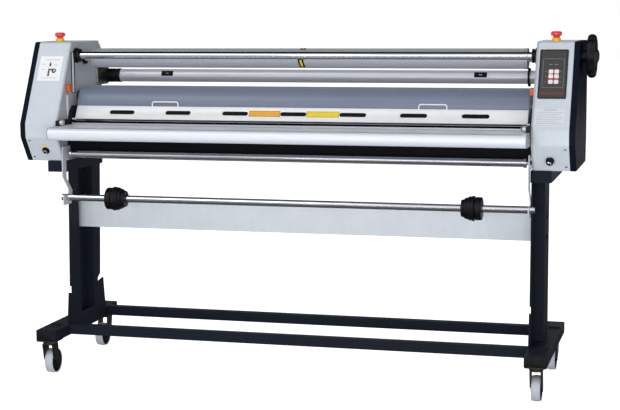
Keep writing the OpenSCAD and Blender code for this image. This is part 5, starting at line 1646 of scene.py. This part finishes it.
@dataclass
class FeedTable:
    """Feed table with its end caps, hold-down rail and clamp knobs."""

    knob_r: float = 11 * MM
    teeth: int = 28

    def build(self) -> None:
        """Make the table's pieces."""
        eased("feed_table", TABLE_LIGHT, 1 * MM)
        eased("table_end_caps", CAP_GREY, 1 * MM)
        eased("hold_down_rail", RAIL_SILVER, 0.8 * MM)
        self.rail_strips()
        for side in Side:
            self.knob(side)

    def rail_strips(self) -> None:
        """Cover the rail's top and upper front with black felt, partly painted shade for the gap under the guard,
        and lay two painted shade lines on the table: the rail's shadow and the bend into the nose.
        """
        low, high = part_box("hold_down_rail")
        # black felt strips on the rail, partly painted shade for the dark gap under the guard
        work = Work()
        work.box((low.x + 2 * MM, low.y + 1.5 * MM, high.z - 0.1 * MM),
                 (high.x - 2 * MM, high.y, high.z + 0.3 * MM))
        work.box((low.x + 2 * MM, low.y - 0.4 * MM, high.z - 2.6 * MM),
                 (high.x - 2 * MM, low.y + 1.6 * MM, high.z + 0.3 * MM))
        work.soften(0.15 * MM).piece("rail_felt", FELT_AND_SHADE_BLACK, "table")
        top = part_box("feed_table")[1].z
        # painted shade: a darker strip where the rail's shadow falls, and one where the top bends into the nose
        shade_lines = Work()
        for front, back in ((-149 * MM, -141 * MM), (-288 * MM, -278 * MM)):
            shade_lines.box((low.x - 20 * MM, front, top - 0.1 * MM), (high.x + 20 * MM, back, top + 0.12 * MM))
        shade_lines.piece("table_grooves", RAIL_SILVER, "table")

    def knob(self, side: Side) -> None:
        """Turn one knurled clamp knob with its stud."""
        node = f"{side.word}_table_knob"
        low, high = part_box(node)
        axis = joint_place(f"{side.word}_clamp_turn")
        inner = low.x if side is Side.RIGHT else high.x
        lay = toward(Vector((inner, axis.y, axis.z)), ALONG * side.value)
        length = high.x - low.x
        profile = turned_profile([(0, 0, 0), (0, 7 * MM, 0), (0.8 * MM, 9.6 * MM, 0.8 * MM),
                                  (2 * MM, 10.2 * MM, 0.5 * MM), (12.5 * MM, 10.2 * MM, 0.8 * MM),
                                  (14 * MM, 8.5 * MM, 0.6 * MM),
                                  (14 * MM, 4 * MM, 0), (length, 4 * MM, 0.5 * MM), (length, 0, 0)])
        work = Work().turned(profile, lay, 48)
        for tooth in range(self.teeth):
            turn = Matrix.Rotation(math.tau * tooth / self.teeth, 4, "Z")
            work.box((9.8 * MM, -0.5 * MM, 2.5 * MM), (self.knob_r, 0.5 * MM, 12 * MM), lay @ turn)
        work.piece(f"{side.word}_clamp_knob", TURNED, f"{side.word}_clamp", [node], 30)


@dataclass
class MainsInlet:
    """Round inlet on the left tower: its nut, a white ring at its mouth that is a painted glint, three pins, and a
    plain mark over it.
    """

    down: float = 57.7 * MM
    top: float = 12 * MM

    def build(self) -> None:
        """Make the inlet's pieces."""
        dress("mains_socket", BLACK_PLASTIC)
        lay = LOWER_SLOPE.at(-900 * MM, self.down)
        lip = self.top + 0.6 * MM
        # the white ring at the mouth is a painted glint
        mouth = turned_profile([(self.top, 6.3 * MM, 0), (self.top, 7.8 * MM, 0), (lip, 7.4 * MM, 0.2 * MM),
                                (lip, 6.6 * MM, 0.2 * MM), (self.top, 6.3 * MM, 0)])
        Work().ring(mouth[:-1], lay, 48).piece("inlet_mouth", KEY_WHITE, "frame")
        nut = Work().ring(turned_profile([(3 * MM, 8.1 * MM, 0), (3 * MM, 11.5 * MM, 0.5 * MM),
                                          (6 * MM, 11.5 * MM, 0.8 * MM), (6 * MM, 8.1 * MM, 0)]), lay, 6)
        nut.soften(0.5 * MM).piece("inlet_nut", SCREW_BLACK, "frame", smooth=25)
        pin = [(0, 0), (0, 1 * MM), (11 * MM, 1 * MM), (12 * MM, 0.5 * MM), (12 * MM, 0)]
        pins = Work()
        for turn in range(3):
            spot = Matrix.Rotation(math.tau * turn / 3, 4, "Z") @ Matrix.Translation((3.2 * MM, 0, -4 * MM))
            pins.turned(pin, lay @ spot, 16)
        pins.piece("inlet_pins", BRACKET_ZINC, "frame", smooth=35)
        place = LOWER_SLOPE.at(-903 * MM, 33 * MM)
        sticker("inlet_mark", LABEL_YELLOW, place, 14 * MM, 13 * MM, "frame", 4 * MM)


class Studio:
    """Camera, lamps, pale floor and the cards that metal reflects."""

    eye = Vector((1.4136, -5.1797, 1.3107))
    turn_left, tip_down, roll = math.radians(15.19), math.radians(7.47), math.radians(0.42)
    focal_px = 1521.4
    sensor_mm = 36.0
    sky_strength = 0.45
    floor_glow = 0.82
    card_out = 3.2
    card_wide = 9.0

    def build(self) -> None:
        """Set up the whole studio."""
        self.camera()
        self.world()
        self.floor()
        self.lamps()
        self.cards()
        bpy.context.scene.view_settings.view_transform = "Standard"

    def camera(self) -> None:
        """Stand the camera where the photograph was taken from."""
        data = bpy.data.cameras.new("camera")
        data.sensor_fit = "HORIZONTAL"
        data.sensor_width = self.sensor_mm
        data.lens = self.focal_px * self.sensor_mm / IMAGE_W
        data.clip_end = 100
        made = bpy.data.objects.new("camera", data)
        made.matrix_world = (Matrix.Translation(self.eye) @ Matrix.Rotation(self.turn_left, 4, "Z")
                             @ Matrix.Rotation(math.pi / 2 - self.tip_down, 4, "X")
                             @ Matrix.Rotation(-self.roll, 4, "Z"))
        bpy.context.scene.collection.objects.link(made)
        bpy.context.scene.camera = made

    def world(self) -> None:
        """White to the camera and in metal, and a soft grey sky for the light on the object."""
        world = bpy.data.worlds.new("studio")
        world.use_nodes = True
        tree = world.node_tree
        tree.nodes.clear()
        rays = tree.nodes.new("ShaderNodeLightPath")
        sky, white = tree.nodes.new("ShaderNodeBackground"), tree.nodes.new("ShaderNodeBackground")
        sky.inputs["Color"].default_value = (0.93, 0.96, 1.0, 1)
        sky.inputs["Strength"].default_value = self.sky_strength
        white.inputs["Color"].default_value = (1, 1, 1, 1)
        seen = rays.outputs["Is Camera Ray"]
        for name in ("Is Glossy Ray", "Is Transmission Ray"):
            either = tree.nodes.new("ShaderNodeMath")
            either.operation = "MAXIMUM"
            tree.links.new(seen, either.inputs[0])
            tree.links.new(rays.outputs[name], either.inputs[1])
            seen = either.outputs[0]
        mix = tree.nodes.new("ShaderNodeMixShader")
        end = tree.nodes.new("ShaderNodeOutputWorld")
        tree.links.new(seen, mix.inputs[0])
        tree.links.new(sky.outputs[0], mix.inputs[1])
        tree.links.new(white.outputs[0], mix.inputs[2])
        tree.links.new(mix.outputs[0], end.inputs["Surface"])
        bpy.context.scene.world = world

    def floor(self) -> None:
        """A wide pale floor that keeps the object's shadow."""
        work = Work()
        bmesh.ops.create_grid(work.bm, x_segments=1, y_segments=1, size=30)
        mesh = bpy.data.meshes.new("studio_floor")
        work.bm.to_mesh(mesh)
        work.bm.free()
        made = bpy.data.objects.new("studio_floor", mesh)
        bpy.context.scene.collection.objects.link(made)
        paint = Paint("studio_floor_paper")
        tone = paint.blend(paint.noise(0.6), (0.86, 0.87, 0.88), (0.88, 0.89, 0.9))
        paint.finish(Base_Color=tone, Roughness=0.9)
        paint.shader.inputs["Specular IOR Level"].default_value = 0.0
        rays = paint.node("ShaderNodeLightPath")
        seen = Value(paint, rays.outputs["Is Camera Ray"]).most(Value(paint, rays.outputs["Is Glossy Ray"]))
        light = {"Color": (1.0, 1.0, 1.0), "Strength": seen * self.floor_glow}
        glow = paint.node("ShaderNodeEmission", None, light)
        both = paint.node("ShaderNodeAddShader", None, {0: paint.shader.outputs[0], 1: glow.outputs[0]})
        paint.tree.links.new(both.outputs[0], paint.end.inputs["Surface"])
        mesh.materials.append(paint.material)

    def lamps(self) -> None:
        """A key from the upper left, a wide front lamp, a fill, a low bounce and a strip from behind."""
        for name, place, target, size, power in (
                ("key", (-2.6, -3.6, 4.2), (0, 0, 0.9), (3.2, 2.2), 44),
                ("front", (0.6, -6.2, 0.7), (0, 0, 0.8), (5.0, 1.4), 128),
                ("fill", (3.8, -3.0, 2.2), (0, 0, 0.8), (2.4, 2.4), 16),
                ("bounce", (0.1, -2.3, 0.12), (0, -0.1, 0.8), (3.2, 0.9), 8),
                ("back", (0.4, 3.4, 3.2), (0, 0, 1.0), (4.0, 1.2), 34)):
            data = bpy.data.lights.new(name, "AREA")
            data.shape = "RECTANGLE"
            data.size, data.size_y = size
            data.energy = power
            made = bpy.data.objects.new(name, data)
            way = Vector(target) - Vector(place)
            made.matrix_world = Matrix.Translation(place) @ way.to_track_quat("-Z", "Y").to_matrix().to_4x4()
            made.visible_glossy = name != "bounce"
            bpy.context.scene.collection.objects.link(made)

    def cards(self) -> None:
        """Black cards and a grey one on the floor, which only reflections show, for bands in the chrome."""
        black = self.card_paint("studio_card_black", (0.01, 0.01, 0.012), (0.02, 0.02, 0.022))
        centre = Vector((0, 0, 0.9))
        for name, low, high in (("front_low", -22, 1), ("overhead", 63, 112), ("behind", 112, 184)):
            start, stop = (centre + self.spoke(angle) * self.card_out for angle in (low, high))
            middle = (start + stop) / 2
            self.card(name, toward(middle, middle - centre, ALONG), (stop - start).length, black)
        grey = self.card_paint("studio_card_grey", (0.17, 0.17, 0.165), (0.2, 0.2, 0.195))
        self.card("ground", toward(Vector((0, 2.9, 0.003)), UP, ALONG), 10.2, grey)

    @staticmethod
    def card_paint(name: str, first: Colour, second: Colour) -> Paint:
        """A dull paint for cards, clouded between two shades.

        Args:
            name: the material's name.
            first: one shade.
            second: the other shade.

        Returns:
            The paint, with its material written.
        """
        paint = Paint(name)
        paint.finish(Base_Color=paint.blend(paint.noise(0.5), first, second), Roughness=0.95)
        paint.shader.inputs["Specular IOR Level"].default_value = 0.0
        return paint

    @staticmethod
    def card(name: str, place: Matrix, tall: float, paint: Paint) -> None:
        """Stand one card that only reflections show.

        Args:
            name: where it stands.
            place: the frame at its middle.
            tall: its size along the frame's Y.
            paint: its material.
        """
        work = Work().plate(rounded_box(Studio.card_wide, tall, 0.05), 0.01, place)
        mesh = bpy.data.meshes.new(f"card_{name}")
        work.bm.to_mesh(mesh)
        work.bm.free()
        mesh.materials.append(paint.material)
        made = bpy.data.objects.new(f"card_{name}", mesh)
        bpy.context.scene.collection.objects.link(made)
        made.visible_camera = made.visible_diffuse = made.visible_shadow = made.visible_transmission = False

    @staticmethod
    def spoke(angle: float) -> Vector:
        """Direction at an angle over the front horizon, in degrees, in the plane across the rollers."""
        turn = math.radians(angle)
        return Vector((0, -math.cos(turn), math.sin(turn)))


def main() -> None:
    """Build the machine's looks piece by piece and set up the studio."""
    logging.basicConfig(level=logging.INFO, format="%(name)s: %(message)s")
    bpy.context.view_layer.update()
    Stand().build()
    for end in ("front", "rear"):
        for side in Side:
            Caster(end, side).build()
    eased("caster_plates", CASTER_ZINC, 0.6 * MM)
    Housing.build_shared()
    for side in Side:
        Housing(side).build()
    ControlPanel().build()
    Labels().build()
    Rollers().build()
    LiftDrive().build()
    MediaPath().build()
    Guard().build()
    FeedTable().build()
    MainsInlet().build()
    Studio().build()


if __name__ == "__main__":
    main()
